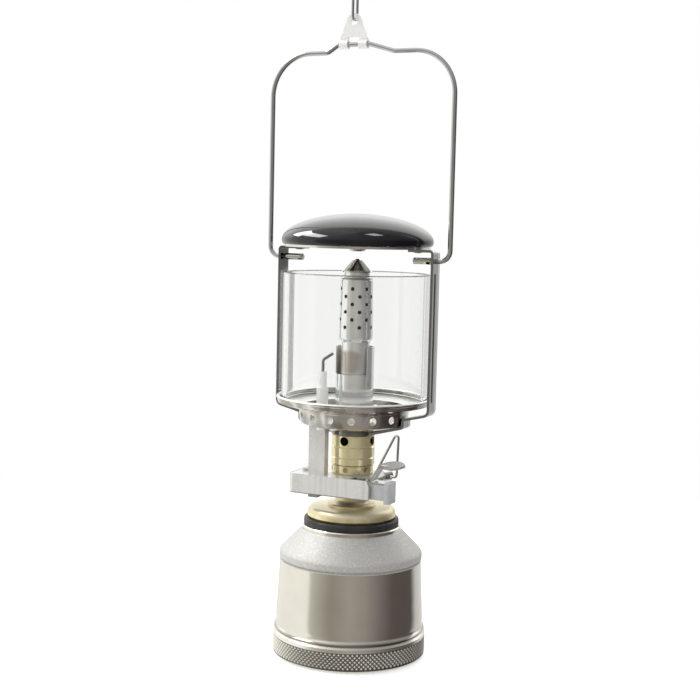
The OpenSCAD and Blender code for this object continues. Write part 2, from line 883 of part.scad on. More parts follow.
// Screw that holds the igniter's ear to the plate
module housing_screw() {
    color(dull_steel)
        translate([-house_left + 3.4, -6, z_plate])
            difference() {
                union() {
                    cylinder(h = 1, r = 1.6);
                    translate([0, 0, -house_t - 3])
                        cylinder(h = house_t + 3, r = 0.9);
                }
                translate([-2, -0.25, 0.6])
                    cube([4, 0.5, 1]);
            }
}

// The sealed piezo unit in the housing
module piezo_unit() {
    left = -house_left + house_t + 0.1;
    low = z_skirt - 0.15;
    color([0.2, 0.2, 0.22])
        difference() {
            union() {
                translate([left, -house_in + 0.05, low])
                    cube([piezo_right - left, house_in - piezo_back - 0.05, piezo_top - low]);
                translate([left + 0.4, -piezo_back - 0.5, piezo_top - 3.6])
                    cube([4.6, piezo_back - 3, 3.6]);
            }
            translate([-6, -stem_mid, stem_mid_z])
                rotate([0, 90, 0])
                    cylinder(h = 30, r = plunger_r + run_fit);
            translate([-house_left + 3.4, -6, piezo_top - 3.1])
                cylinder(h = 4, r = 0.9 + fixed_fit);
        }
}

// The igniter's button, with the plunger that strikes the piezo
module igniter_button() {
    low = z_skirt - 0.7;
    high = z_house + 0.5;
    front = house_in + 0.3;
    back = slot_back - 0.1;
    round_r = button_l - 1;
    color(plastic)
        union() {
            translate([stem_left, -stem_front, stem_low])
                cube([head_left - stem_left + 0.5, stem_front - stem_back, stem_top - stem_low]);
            translate([head_left, -front, low])
                cube([button_l - round_r, front - back, high - low]);
            translate([head_left, -front + round_r, low])
                cube([button_l, front - back - 2 * round_r, high - low]);
            for (y = [-front + round_r, -back - round_r])
                translate([head_right - round_r, y, low])
                    cylinder(h = high - low, r = round_r);
            translate([-6 + button_travel + 1, -stem_mid, stem_mid_z])
                rotate([0, 90, 0])
                    cylinder(h = stem_left + 6.2 - button_travel - 1, r = plunger_r);
        }
}

// Thumb tab: a bent tongue on the button
module thumb_tab() {
    t = 0.8;
    wide = stem_front - stem_back - 0.4;
    rise_top = stem_top + t / 2 + tab_rise;
    foot = [stem_left + 4.1, stem_top + t / 2];
    knee = [foot.x + 4.1, rise_top];
    leaf_half_w = wide / 2 + 0.7;
    leaf_half = 5.3;
    leaf_r = (leaf_half * leaf_half + leaf_half_w * leaf_half_w) / 2 / leaf_half_w;
    leaf_off = leaf_r - leaf_half_w;
    color(dull_steel)
        translate([0, -stem_mid, 0])
            union() {
                bent_sheet(
                    round_path([[head_left - 0.4, foot.y], foot, knee, knee + [3.4, 0]], [0, 1, 1.6, 0], 5),
                    wide,
                    t
                );
                translate([knee.x + leaf_half - 0.6, 0, rise_top])
                    rotate([16, -3, 0])
                        translate([0, 0, -t / 2 + 0.3])
                            linear_extrude(t)
                                intersection() {
                                    translate([0, leaf_off])
                                        circle(r = leaf_r);
                                    translate([0, -leaf_off])
                                        circle(r = leaf_r);
                                }
            }
}

// Folded cover over the spark lead, between the housing and the dish
module lead_cover() {
    t = 0.6;
    top = z_strap + 4;
    color(dull_steel)
        difference() {
            translate([cover_x, electrode_at.y, z_plate])
                difference() {
                    translate([-cover_w / 2, -cover_d / 2, 0])
                        cube([cover_w, cover_d, top - z_plate]);
                    translate([-cover_w / 2 + t, -cover_d / 2 + t, -1])
                        cube([cover_w - 2 * t, cover_d, top - z_plate + 2]);
                }
            translate([0, 0, z_strap - 0.2])
                cylinder(h = 8, r1 = flat_r, r2 = flat_r + 8 / tan(well_slope));
            translate([electrode_at.x, electrode_at.y, z_insulator - 0.1])
                cylinder(h = 8, r = insulator_r + 0.1);
        }
}

// The spark lead, from the piezo up to the electrode
module ignition_lead() {
    color([0.85, 0.85, 0.83])
        translate([electrode_at.x, electrode_at.y, piezo_top + 0.02])
            cylinder(h = z_insulator - piezo_top - 0.04, r = lead_r);
}

// Ceramic insulator through the dish
module electrode_insulator() {
    step = z_ledge + 7.4;
    color(ceramic)
        translate([electrode_at.x, electrode_at.y, 0])
            difference() {
                union() {
                    translate([0, 0, z_insulator])
                        cylinder(h = step - z_insulator - 0.5, r = insulator_r);
                    translate([0, 0, step - 0.5])
                        cylinder(h = 0.5, r1 = insulator_r, r2 = insulator_r - 0.5);
                    translate([0, 0, step])
                        cylinder(h = 6.1, r = 1.6);
                }
                translate([0, 0, step - 6])
                    cylinder(h = 14, r = electrode_d / 2 + fixed_fit);
            }
}

// Spark electrode: a wire bent towards the burner
module electrode_wire() {
    away = norm(electrode_at);
    step = z_ledge + 7.4;
    reach = away - sleeve_r - 2;
    color(dull_steel)
        rotate([0, 0, atan2(electrode_at.y, electrode_at.x)])
            rotate([90, 0, 0])
                bent_wire(
                    [[away, step - 5.9], [away, z_tip - 2.4], [away - reach, z_tip]],
                    [0, 1.2, 0],
                    electrode_d
                );
}

// Pressed dish that the globe stands in, with a rolled rim and vents round its well
module globe_dish() {
    bead = 0.75;
    fold = 0.6;
    color(steel)
        difference() {
            rotate_extrude()
                polygon(concat(
                    [
                        lift(neck_spigot_r + fixed_fit, z_strap), lift(flat_r, z_strap),
                        lift(well_r - 1, z_well), lift(well_r - 0.3, z_well + 0.4),
                        lift(well_r, z_well + 1.2), lift(well_r + 0.4, z_step - fold)
                    ],
                    arc(lift(well_r + 0.5, z_step), fold, 280, 365, 5),
                    [
                        lift(globe_r - 0.4, z_ledge), lift(rim_r - 0.25, z_ledge + 0.6),
                        lift(rim_r, z_ledge + 1.3)
                    ],
                    arc(lift(rim_r - sheet / 2, z_rim), bead, -60, 240, 12),
                    [
                        lift(rim_r - sheet, z_ledge + 1.4), lift(rim_r - sheet - 0.4, z_ledge + sheet),
                        lift(globe_r - 0.4, z_ledge + sheet), lift(well_r + 0.5 - sheet, z_step + sheet),
                        lift(well_r - sheet, z_well + 1.3), lift(well_r - 1.2, z_well + sheet),
                        lift(flat_r, z_floor), lift(neck_spigot_r + fixed_fit, z_floor)
                    ]
                ));
            for (i = [0:vents - 1])
                if (i % (vents / 2) != 0)
                    rotate([0, 0, 360 / vents * i])
                        translate([well_r - 3, 0, z_well + 1.2 + well_h / 2 - 0.2])
                            rotate([0, 90, 0])
                                cylinder(h = 6, d = vent_d);
            translate([electrode_at.x, electrode_at.y, z_strap - 1])
                cylinder(h = 12, r = insulator_r + fixed_fit);
        }
}

// One bent strap: under the dish, up both sides and in under the hood
module frame_strap() {
    half = strap_t / 2;
    wall_x = well_r + 0.5 + half;
    start = [flat_r, z_strap - half];
    under = [wall_x, z_strap - half / cos(well_slope) + (wall_x - flat_r) * tan(well_slope)];
    side = [wall_x, z_step - 3];
    corner = [strap_mid, z_step - 0.4];
    head = [strap_mid, z_hood_plate - half];
    right = [start, under, side, corner, head, [strap_mid - tab_l, head.y]];
    radii = [1.2, 1, 1, 2.4, 1.1, 0];
    back_radii = [for (i = [len(radii) - 1:-1:0]) radii[i]];
    left = [for (i = [len(right) - 1:-1:0]) [-right[i].x, right[i].y]];
    color(steel)
        difference() {
            union() {
                translate([0, 0, z_column])
                    cylinder(h = strap_t, r = flat_r - 0.2);
                bent_sheet(round_path(concat(left, right), concat(back_radii, radii), 5), strap_w, strap_t);
                for (m = [0, 1])
                    mirror([m, 0, 0])
                        translate([strap_out - 0.2, -1.1, corner.y + 5])
                            cube([0.55, 2.2, z_pivot - corner.y - 10]);
            }
            translate([0, 0, z_column - 1])
                cylinder(h = strap_t + 2, r = neck_spigot_r + fixed_fit);
            translate([0, 0, z_pivot])
                rotate([0, 90, 0])
                    cylinder(h = 200, r = bail_r + run_fit, center = true);
            for (x = [-strap_rivet_x, strap_rivet_x])
                translate([x, 0, z_hood_plate - 5 * strap_t])
                    cylinder(h = 10 * strap_t, r = strap_rivet_r + fixed_fit);
        }
}

// Two rivets that hold the strap to the hood's plate
module strap_rivets() {
    under = z_hood_plate - strap_t;
    color(steel)
        for (x = [-strap_rivet_x, strap_rivet_x])
            translate([x, 0, 0])
                union() {
                    translate([0, 0, under - 0.4])
                        cylinder(h = 0.4, r1 = strap_rivet_r + 0.3, r2 = strap_rivet_r + 0.8);
                    translate([0, 0, under])
                        cylinder(h = strap_t + plate_t, r = strap_rivet_r);
                    translate([0, 0, z_hood])
                        cylinder(h = 0.7, r1 = strap_rivet_r + 0.8, r2 = strap_rivet_r + 0.3);
                }
}

// The glass, open at both ends
module glass_globe() {
    ease = 0.4;
    inner = globe_r - globe_wall;
    color(clear)
        rotate_extrude()
            polygon([
                lift(inner + ease, z_globe), lift(globe_r - ease, z_globe), lift(globe_r, z_globe + ease),
                lift(globe_r, z_globe_top - ease), lift(globe_r - ease, z_globe_top),
                lift(inner + ease, z_globe_top), lift(inner, z_globe_top - ease), lift(inner, z_globe + ease)
            ]);
}

// Enamelled hood
module hood() {
    steps = 20;
    crown = 1.08;
    inner_r = hood_r - hood_sheet;
    tuck = hood_r - hood_plate_r;
    color(enamel)
        rotate_extrude()
            polygon(concat(
                [
                    for (i = [0:4])
                        lift(hood_r - tuck * (1 - sin(90 * i / 4)), z_dome - rim_drop * cos(90 * i / 4))
                ],
                [
                    for (i = [1:steps])
                        lift(hood_r * pow(cos(90 * i / steps), crown), z_dome + dome_h * sin(90 * i / steps))
                ],
                [
                    for (i = [steps:-1:0])
                        lift(
                            inner_r * pow(cos(90 * i / steps), crown),
                            z_dome + (dome_h - hood_sheet) * sin(90 * i / steps)
                        )
                ],
                [
                    for (i = [3:-1:0])
                        lift(inner_r - tuck * (1 - sin(90 * i / 4)), z_dome - rim_drop * cos(90 * i / 4))
                ]
            ));
}

// Bright plate under the hood
module hood_plate() {
    color(steel)
        difference() {
            translate([0, 0, z_hood_plate])
                cylinder(h = plate_t, r = hood_plate_r);
            translate([0, 0, z_hood_plate - 1])
                cylinder(h = plate_t + 2, r = 1.8 + fixed_fit);
            for (x = [-strap_rivet_x, strap_rivet_x])
                translate([x, 0, z_hood_plate - 1])
                    cylinder(h = plate_t + 2, r = strap_rivet_r + fixed_fit);
        }
}

// Stud and rivet head that hold the hood to its plate
module hood_rivet() {
    top = z_dome - hood_sheet + dome_h - 0.06;
    color(dull_steel)
        union() {
            translate([0, 0, z_hood_plate - 1.4])
                cylinder(h = 0.6, r1 = hood_head_r - 0.6, r2 = hood_head_r);
            translate([0, 0, z_hood_plate - 0.8])
                cylinder(h = 0.8, r = hood_head_r);
            translate([0, 0, z_hood_plate])
                cylinder(h = top - z_hood_plate, r = 1.8);
            translate([0, 0, top - 1])
                cylinder(h = 1, r = 3);
        }
}

// Brass nut that clamps the dish and carries the burner
module burner_nut() {
    color(brass)
        difference() {
            union() {
                translate([0, 0, z_floor])
                    cylinder(h = nut_hex_h, r = hex_flats / 2 / cos(30), $fn = 6);
                translate([0, 0, z_sleeve])
                    cylinder(h = nut_boss_h, r = nut_boss_r);
            }
            translate([0, 0, z_floor - 1])
                cylinder(h = spigot_top + 2, r = neck_spigot_r + fixed_fit);
            translate([0, 0, z_tube_foot])
                cylinder(h = 10, r = low_tube_r + fixed_fit);
        }
}

// Plain sleeve round the burner's foot
module burner_sleeve() {
    window_turn = 65;
    color(steel)
        difference() {
            translate([0, 0, z_sleeve])
                cylinder(h = sleeve_h, r = sleeve_r);
            translate([0, 0, z_sleeve - 1])
                cylinder(h = sleeve_h + 2, r = sleeve_r - sleeve_wall);
            rotate([0, 0, -90 - window_turn])
                rotate_extrude(angle = 2 * window_turn)
                    translate([sleeve_r - 2, z_sleeve_top - window_h])
                        square([4, window_h + 1]);
        }
}

// Burner tube with staggered flame holes
module burner_tube() {
    pitch = tube_h / (hole_rows + 1.75);
    hole_turn = 23.8;
    color(steel)
        difference() {
            rotate_extrude()
                polygon([
                    lift(low_tube_r - tube_wall, z_tube_foot), lift(low_tube_r, z_tube_foot),
                    lift(low_tube_r, z_neck - 0.8), lift(waist_r, z_neck),
                    lift(waist_r, z_waist - 0.2), lift(tube_r0 - 0.2, z_perf - 0.5), lift(tube_r0, z_perf),
                    lift(tube_r1, z_perf_top - 0.7), lift(tube_r1 - 0.3, z_perf_top),
                    lift(neck_tube_r, z_perf_top + 0.7), lift(neck_tube_r, z_brim),
                    lift(neck_tube_r - tube_wall, z_brim), lift(neck_tube_r - tube_wall, z_perf_top + 0.4),
                    lift(tube_r1 - 0.5 - tube_wall, z_perf_top - 0.5), lift(tube_r0 - tube_wall, z_perf + 0.3),
                    lift(waist_r - tube_wall, z_waist), lift(waist_r - tube_wall, z_neck - 0.2),
                    lift(low_tube_r - tube_wall, z_neck - 1)
                ]);
            for (j = [0:hole_rows - 1])
                for (i = [0:hole_count - 1])
                    rotate([0, 0, 360 / hole_count * (i + (j % 2) / 2) + hole_turn])
                        translate([tube_r1 - 2, 0, z_perf_top - pitch * (1.33 + j)])
                            rotate([0, 90, 0])
                                cylinder(h = 4, d = hole_d);
        }
}

// Crimped cone that closes the burner
module burner_cone() {
    pleat_turn = 70;
    brim_r = tube_r1 - 0.1;
    brim_t = 0.6;
    z0 = z_brim + brim_t;
    plug_r = neck_tube_r - tube_wall - fixed_fit;
    ridge_r = brim_r - 0.2;
    z_tip = z_brim + cap_h;
    color(steel)
        union() {
            translate([0, 0, z_brim])
                cylinder(h = brim_t, r1 = brim_r, r2 = brim_r - 0.2);
            translate([0, 0, z_brim - 1.2])
                cylinder(h = 1.3, r = plug_r);
            translate([0, 0, z0 - 0.1])
                cylinder(h = z_tip - z0 + 0.1, r1 = ridge_r - 2.2, r2 = 0.6);
            intersection() {
                translate([0, 0, z0 - 0.1])
                    cylinder(h = z_tip - z0 - 0.5, r1 = ridge_r, r2 = 1.9);
                for (i = [0:cap_folds - 1])
                    rotate([0, 0, 360 / cap_folds * i + pleat_turn])
                        translate([0, 0, z_brim])
                            linear_extrude(2 * cap_h)
                                polygon([[0, -0.9], [2 * ridge_r, -2.3], [2 * ridge_r, 2.3], [0, 0.9]]);
            }
        }
}

// The bail: one bent wire, its ends through the strap
module bail_wire() {
    lower = 4.2;
    half = hump_l / 2;
    ramp = [4.6, 10.5];
    right = [
        [pin_end, z_pivot], [leg_x, z_pivot], [leg_x, z_shoulder],
        [half + ramp[1] - hump_off, z_shoulder], [half - hump_off, z_hump]
    ];
    left = [
        [-half - hump_off, z_hump], [-half - ramp[0] - hump_off, z_shoulder],
        [-leg_x, z_shoulder], [-leg_x, z_pivot], [-pin_end, z_pivot]
    ];
    bends = [0, lower, bail_corner, 4, 2];
    back_bends = [for (i = [len(bends) - 1:-1:0]) bends[i]];
    color(steel)
        rotate([90, 0, 0])
            bent_wire(concat(right, left), concat(bends, back_bends), bail_d);
}

// Two sleeves that keep the bail's ends in the strap
module bail_ferrules() {
    color(steel)
        for (m = [0, 1])
            mirror([m, 0, 0])
                translate([pin_end - 0.8, 0, z_pivot])
                    rotate([0, 90, 0])
                        difference() {
                            union() {
                                cylinder(h = 0.4, r1 = ferrule_r - 0.4, r2 = ferrule_r);
                                translate([0, 0, 0.4])
                                    cylinder(h = strap_in - 0.4 - pin_end, r = ferrule_r);
                            }
                            translate([0, 0, 0.8 - fixed_fit])
                                cylinder(h = 20, r = bail_r + 0.01);
                        }
}

// Triangular hanger link, its two knuckles curled round the bail
module hanger_link() {
    top_r = link_hole_r + 1.9;
    base_z = z_hump + knuckle_r - 0.3;
    inner = link_w / 2 - knuckle_l;
    color(steel)
        translate([-hump_off, 0, 0])
            difference() {
                union() {
                    translate([0, link_t / 2, 0])
                        rotate([90, 0, 0])
                            linear_extrude(link_t)
                                polygon([
                                    [-link_w / 2, base_z], [-inner, base_z], [-inner, base_z + 1.4],
                                    [inner, base_z + 1.4], [inner, base_z], [link_w / 2, base_z],
                                    [link_w / 2, base_z + 1], [top_r * 0.9, z_link_hole + top_r * 0.436],
                                    [-top_r * 0.9, z_link_hole + top_r * 0.436], [-link_w / 2, base_z + 1]
                                ]);
                    translate([0, link_t / 2, z_link_hole])
                        rotate([90, 0, 0])
                            cylinder(h = link_t, r = top_r);
                    for (x = [-link_w / 2, inner])
                        translate([x, 0, z_hump])
                            rotate([0, 90, 0])
                                cylinder(h = knuckle_l, r = knuckle_r);
                }
                translate([0, 0, z_hump])
                    rotate([0, 90, 0])
                        cylinder(h = 40, r = bail_r + run_fit, center = true);
                translate([0, 0, z_link_hole])
                    rotate([90, 0, 0])
                        cylinder(h = 10, r = link_hole_r, center = true);
            }
}

// Wire hook: a narrow eye through the link and an open crook above
module hanging_hook() {
    join = z_hook + hook_shank;
    base = join + 8;
    color(steel)
        translate([-hump_off, 0, 0])
            rotate([90, 0, 90])
                bent_wire(
                    [
                        [hook_leg, join - 1], [hook_leg, z_hook], [-hook_leg, z_hook], [-hook_leg, join],
                        [0, join + 3.4], [0, join + 6], [crook_r, base + 4.4],
                        [crook_r, base + 4.8 + 2 * crook_r], [-crook_r, base + 4.8 + 2 * crook_r],
                        [-crook_r, base + 4.4 + 0.4 * crook_r]
                    ],
                    [0, 1.4, 1.4, 2, 2, 2.6, 2.6, crook_r - 0.6, crook_r - 0.6, 0],
                    hook_wire
                );
}

tank_body();
base_cap();
base_oring();
tank_valve();
tank_valve_stem();
tank_valve_spring();
tank_gasket();
connector_flange();
connector_oring();
valve_body();
gas_jet();
air_column();
valve_spindle();
spindle_oring();
gland_nut();
valve_handle();
igniter_housing();
housing_screw();
piezo_unit();
igniter_button();
thumb_tab();
lead_cover();
ignition_lead();
electrode_insulator();
electrode_wire();
globe_dish();
frame_strap();
strap_rivets();
glass_globe();
hood();
hood_plate();
hood_rivet();
burner_nut();
burner_sleeve();
burner_tube();
burner_cone();
bail_wire();
bail_ferrules();
hanger_link();
hanging_hook();
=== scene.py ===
"""Finishes, studio and camera for the gas lantern, dressed over its packed frame."""

import logging
import math
from dataclasses import dataclass, field
from enum import Enum
from typing import Any, Union

import bmesh
import bpy
from mathutils import Matrix, Vector


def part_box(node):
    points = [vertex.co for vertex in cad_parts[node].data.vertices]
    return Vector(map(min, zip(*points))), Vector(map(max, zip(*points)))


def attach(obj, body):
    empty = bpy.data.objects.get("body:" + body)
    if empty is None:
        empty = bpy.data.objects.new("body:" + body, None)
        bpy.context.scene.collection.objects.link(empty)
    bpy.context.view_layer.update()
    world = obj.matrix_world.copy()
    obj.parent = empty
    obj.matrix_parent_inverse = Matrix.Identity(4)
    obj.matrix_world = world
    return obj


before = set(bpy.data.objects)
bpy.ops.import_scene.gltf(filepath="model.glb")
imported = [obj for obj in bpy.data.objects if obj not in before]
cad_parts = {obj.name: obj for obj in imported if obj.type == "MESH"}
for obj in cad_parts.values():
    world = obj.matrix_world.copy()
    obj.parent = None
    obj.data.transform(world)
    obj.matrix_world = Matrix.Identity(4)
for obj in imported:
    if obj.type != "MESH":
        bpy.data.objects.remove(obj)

Colour = tuple[float, float, float]
Feed = Union["Value", float, Colour]
Sockets = dict[str | int, Feed]

MM = 0.001
WELD_GAP = 1e-6
log = logging.getLogger("lantern")


class Value:
    """A node's output socket that takes part in Python arithmetic."""

    def __init__(self, canvas: "Canvas", socket: bpy.types.NodeSocket | None) -> None:
        """Wraps one output socket of a canvas."""
        self.canvas = canvas
        self.socket = socket

    def math(self, operation: str, first: Feed, second: Feed) -> "Value":
        """Adds a Math node.

        Args:
            operation: the Math node's operation.
            first: its first input.
            second: its second input.

        Returns:
            The node's result.
        """
        return self.canvas.add("ShaderNodeMath", {"operation": operation}, {0: first, 1: second})

    def __add__(self, other: Feed) -> "Value":
        """This value plus another."""
        return self.math("ADD", self, other)

    __radd__ = __add__

    def __sub__(self, other: Feed) -> "Value":
        """This value less another."""
        return self.math("SUBTRACT", self, other)

    def __rsub__(self, other: Feed) -> "Value":
        """Another value less this one."""
        return self.math("SUBTRACT", other, self)

    def __mul__(self, other: Feed) -> "Value":
        """This value times another."""
        return self.math("MULTIPLY", self, other)

    __rmul__ = __mul__

    def __truediv__(self, other: Feed) -> "Value":
        """This value over another."""
        return self.math("DIVIDE", self, other)

    def __pow__(self, other: Feed) -> "Value":
        """This value raised to a power."""
        return self.math("POWER", self, other)

    def ease(self, low: float, high: float) -> "Value":
        """A smooth step of this value.

        Args:
            low: where the step leaves 0.
            high: where it reaches 1. It may lie below low, for a falling step.

        Returns:
            A value from 0 to 1.
        """
        falling = high < low
        span = {"Value": self, "From Min": min(low, high), "From Max": max(low, high)}
        rise = self.canvas.add("ShaderNodeMapRange", {"interpolation_type": "SMOOTHSTEP"}, span)
        return 1 - rise if falling else rise

    def band(self, low: float, high: float, soft: float) -> "Value":
        """A plateau of 1 between two limits, with soft ends."""
        return self.ease(low - soft, low + soft) * self.ease(high + soft, high - soft)


class Canvas:
    """A node tree being wired: a material's or the world's."""

    def __init__(self, tree: bpy.types.NodeTree) -> None:
        """Empties the tree."""
        self.tree = tree
        tree.nodes.clear()

    def add(
        self,
        kind: str,
        settings: dict[str, Any] | None = None,
        inputs: Sockets | None = None,
        output: str | int = 0,
    ) -> Value:
        """Adds one node.

        Args:
            kind: the node's type.
            settings: properties set first; stops fill a ramp with (place, grey or colour) pairs.
            inputs: numbers, colours or values for its sockets, by name or index.
            output: the socket that is handed back, by name or index.

        Returns:
            The chosen output, with no socket where the node ends the tree.
        """
        node = self.tree.nodes.new(kind)
        for name, setting in (settings or {}).items():
            if name == "stops":
                self.fill_ramp(node.color_ramp, setting)
            else:
                setattr(node, name, setting)
        for key, feed in (inputs or {}).items():
            self.feed(node.inputs[key], feed)
        return Value(self, node.outputs[output] if node.outputs else None)

    def feed(self, socket: bpy.types.NodeSocket, feed: Feed) -> None:
        """Links a value to a socket, or sets a constant on it."""
        if isinstance(feed, Value):
            self.tree.links.new(feed.socket, socket)
        elif socket.type == "RGBA":
            socket.default_value = (*feed, 1.0)
        else:
            socket.default_value = feed

    def fill_ramp(self, ramp: bpy.types.ColorRamp, stops: list[tuple[float, Any]]) -> None:
        """Sets a ramp's stops, each a place and a grey level or a colour."""
        while len(ramp.elements) < len(stops):
            ramp.elements.new(1.0)
        for element, (place, tone) in zip(ramp.elements, stops):
            element.position = place
            element.color = (*tone, 1.0) if isinstance(tone, tuple) else (tone, tone, tone, 1.0)

    def mix(self, share: Feed, first: Feed, second: Feed) -> Value:
        """A colour mix.

        Args:
            share: how much of the second colour shows.
            first: the colour at 0.
            second: the colour at 1.

        Returns:
            The mixed colour.
        """
        inputs = {0: share, 6: first, 7: second}
        return self.add("ShaderNodeMix", {"data_type": "RGBA"}, inputs, 2)

    def axes(self) -> tuple[Value, Value, Value]:
        """The place on the object along X, Y and Z, in metres."""
        place = self.add("ShaderNodeTexCoord", output="Object")
        parts = self.add("ShaderNodeSeparateXYZ", None, {0: place}).socket.node
        return tuple(Value(self, socket) for socket in parts.outputs)

    def radius(self) -> Value:
        """The distance from the object's own upright axis, in metres."""
        x, y, _ = self.axes()
        return (x * x + y * y) ** 0.5

    def vector(self, x: Feed, y: Feed, z: Feed) -> Value:
        """Three values as a vector."""
        return self.add("ShaderNodeCombineXYZ", None, {0: x, 1: y, 2: z})

    def noise(self, place: Value, scale: float, detail: float = 2.0, rough: float = 0.5) -> Value:
        """Noise from 0 to 1.

        Args:
            place: where it is read.
            scale: cells per unit of place.
            detail: its octaves.
            rough: how strong the fine octaves are.

        Returns:
            The noise's height.
        """
        inputs = {"Vector": place, "Scale": scale, "Detail": detail, "Roughness": rough}
        return self.add("ShaderNodeTexNoise", None, inputs)

    def bump(self, height: Value, distance: float) -> Value:
        """A normal bent by a height in units of distance, in metres."""
        inputs = {"Height": height, "Distance": distance, "Strength": 1.0}
        return self.add("ShaderNodeBump", None, inputs)

    def cover(self, inputs: Sockets, share: Value, colour: Feed) -> None:
        """Lays a colour over a share of a finish, in its sockets."""
        inputs["Base Color"] = self.mix(share, inputs["Base Color"], colour)

    def blacken(
        self, inputs: Sockets, share: Value, hollow_shade: Colour, bare: float, dull: float = 0.4
    ) -> None:
        """Lays matt painted shade over a share of a metal, in its sockets.

        Args:
            inputs: the metal's sockets, which are changed.
            share: where the soot lies.
            hollow_shade: the painted shade's colour.
            dull: how much rougher the shaded share is.
            bare: how metallic the clean metal is.
            dull: how much rougher the soot is.
        """
        # Painted shade: a matt dark colour where a hollow lies in shade.
        self.cover(inputs, share, hollow_shade)
        inputs["Roughness"] = inputs["Roughness"] + share * dull
        inputs["Metallic"] = bare + share * (1 - bare)

    def finish(self, inputs: Sockets) -> None:
        """Ends a material with one Principled shader."""
        shader = self.add("ShaderNodeBsdfPrincipled", None, inputs)
        self.add_output("ShaderNodeOutputMaterial", shader)

    def add_output(self, kind: str, shader: Value) -> None:
        """Ends the tree with an output node of that kind."""
        self.add(kind, None, {"Surface": shader})


class Lay(Enum):
    """Which way a metal's fine lines run."""

    TURNED = "round the lantern's axis"
    UPRIGHT = "up and down"
    LEVEL = "along X"
    NONE = "blasted or tumbled, with no lines"


@dataclass(frozen=True)
class Finish:
    """A surface finish, made into one material however many pieces wear it."""

    name: str

    def wire(self, canvas: Canvas) -> None:
        """Wires the finish's nodes."""
        raise NotImplementedError

    def material(self) -> bpy.types.Material:
        """The finish's material, made on first use."""
        known = bpy.data.materials.get(self.name)
        if known:
            return known
        made = bpy.data.materials.new(self.name)
        made.use_nodes = True
        self.wire(Canvas(made.node_tree))
        return made


@dataclass(frozen=True)
class Metal(Finish):
    """Bare metal with lines left by tools, and smudges of handling."""

    colour: Colour = (0.72, 0.715, 0.69)
    shade: Colour = (0.5, 0.49, 0.46)
    smooth: float = 0.2
    dull: float = 0.32
    lay: Lay = Lay.NONE
    lines: float = 9000.0
    relief: float = 4e-6
    smudges: float = 90.0
    smudge_share: float = 0.55
    wear: float = 0.6
    bare: float = 1.0
    stretch: float = 0.02

    def grain(self, canvas: Canvas) -> Value:
        """The height of the tool marks, from 0 to 1."""
        x, y, z = canvas.axes()
        if self.lay is Lay.TURNED:
            place = canvas.vector(canvas.radius(), z, 0.0)
        elif self.lay is Lay.UPRIGHT:
            place = canvas.vector(x, y, z * self.stretch)
        elif self.lay is Lay.LEVEL:
            place = canvas.vector(x * self.stretch, y, z)
        else:
            place = canvas.vector(x, y, z)
        return canvas.noise(place, self.lines, detail=3.0, rough=0.6)

    def smear(self, canvas: Canvas) -> Value:
        """Where handling has dulled the metal, from 0 to 1."""
        place = canvas.vector(*canvas.axes())
        return canvas.noise(place, self.smudges, detail=4.0, rough=0.6).ease(0.35, 0.75)

    def inputs(self, canvas: Canvas) -> Sockets:
        """The Principled sockets of the plain finish."""
        grain = self.grain(canvas)
        worn = self.smear(canvas) * self.smudge_share + grain * (1 - self.smudge_share)
        return {
            "Base Color": canvas.mix(worn * self.wear, self.colour, self.shade),
            "Roughness": worn * (self.dull - self.smooth) + self.smooth,
            "Metallic": self.bare,
            "Normal": canvas.bump(grain, self.relief),
        }

    def wire(self, canvas: Canvas) -> None:
        """Wires the plain finish."""
        canvas.finish(self.inputs(canvas))


@dataclass(frozen=True)
class TankMetal(Metal):
    """Anodised aluminium, turned on the wall and bead-blasted on the shoulder."""

    blast_low: float = 0.0
    blast_high: float = 0.0
    blast_soft: float = 0.2 * MM
    blast_grain: float = 1700.0
    blast_rough: float = 0.5
    blast_relief: float = 90.0
    blast_bare: float = 0.35
    blast_shade: Colour = (0.5, 0.49, 0.467)
    # Painted highlight: the bright specks in the blasted band's colour.
    painted_glint: Colour = (0.98, 0.97, 0.95)
    painted_glint_share: float = 0.35
    spark_gloss: float = 0.55
    foot: float = 0.0
    # Painted shade: a dark band just over the foot, for the shadow line there and over the cove's
    # reflection.
    foot_shade_low: float = 0.2 * MM
    foot_shade_high: float = 1.5 * MM
    foot_shade_soft: float = 0.35 * MM
    foot_shade_share: float = 0.8
    foot_shade: Colour = (0.2, 0.19, 0.17)

    def wire(self, canvas: Canvas) -> None:
        """Wires the turned wall, then the blasted band with painted glints, and a painted shade
        band at the foot over it.
        """
        inputs = self.inputs(canvas)
        x, y, z = canvas.axes()
        blasted = z.band(self.blast_low, self.blast_high, self.blast_soft)
        speck = canvas.noise(canvas.vector(x, y, z), self.blast_grain, rough=0.7)
        painted_glint = speck.ease(0.45, 0.75)
        # Painted highlight: bright glint specks mixed into the blasted band's colour.
        canvas.cover(
            inputs, blasted, canvas.mix(painted_glint * self.painted_glint_share, self.blast_shade, self.painted_glint)
        )
        # Painted shade just over the foot.
        foot_shade = z.band(self.foot + self.foot_shade_low, self.foot + self.foot_shade_high, self.foot_shade_soft)
        canvas.cover(inputs, foot_shade * self.foot_shade_share, self.foot_shade)
        rough = inputs["Roughness"]
        lustre = 1 - painted_glint * self.spark_gloss
        inputs["Roughness"] = rough + blasted * (self.blast_rough - rough) * lustre
        height = self.grain(canvas) * (1 - blasted) + blasted * speck * self.blast_relief
        inputs["Normal"] = canvas.bump(height, self.relief)
        inputs["Metallic"] = 1 - blasted * (1 - self.blast_bare)
        canvas.finish(inputs)


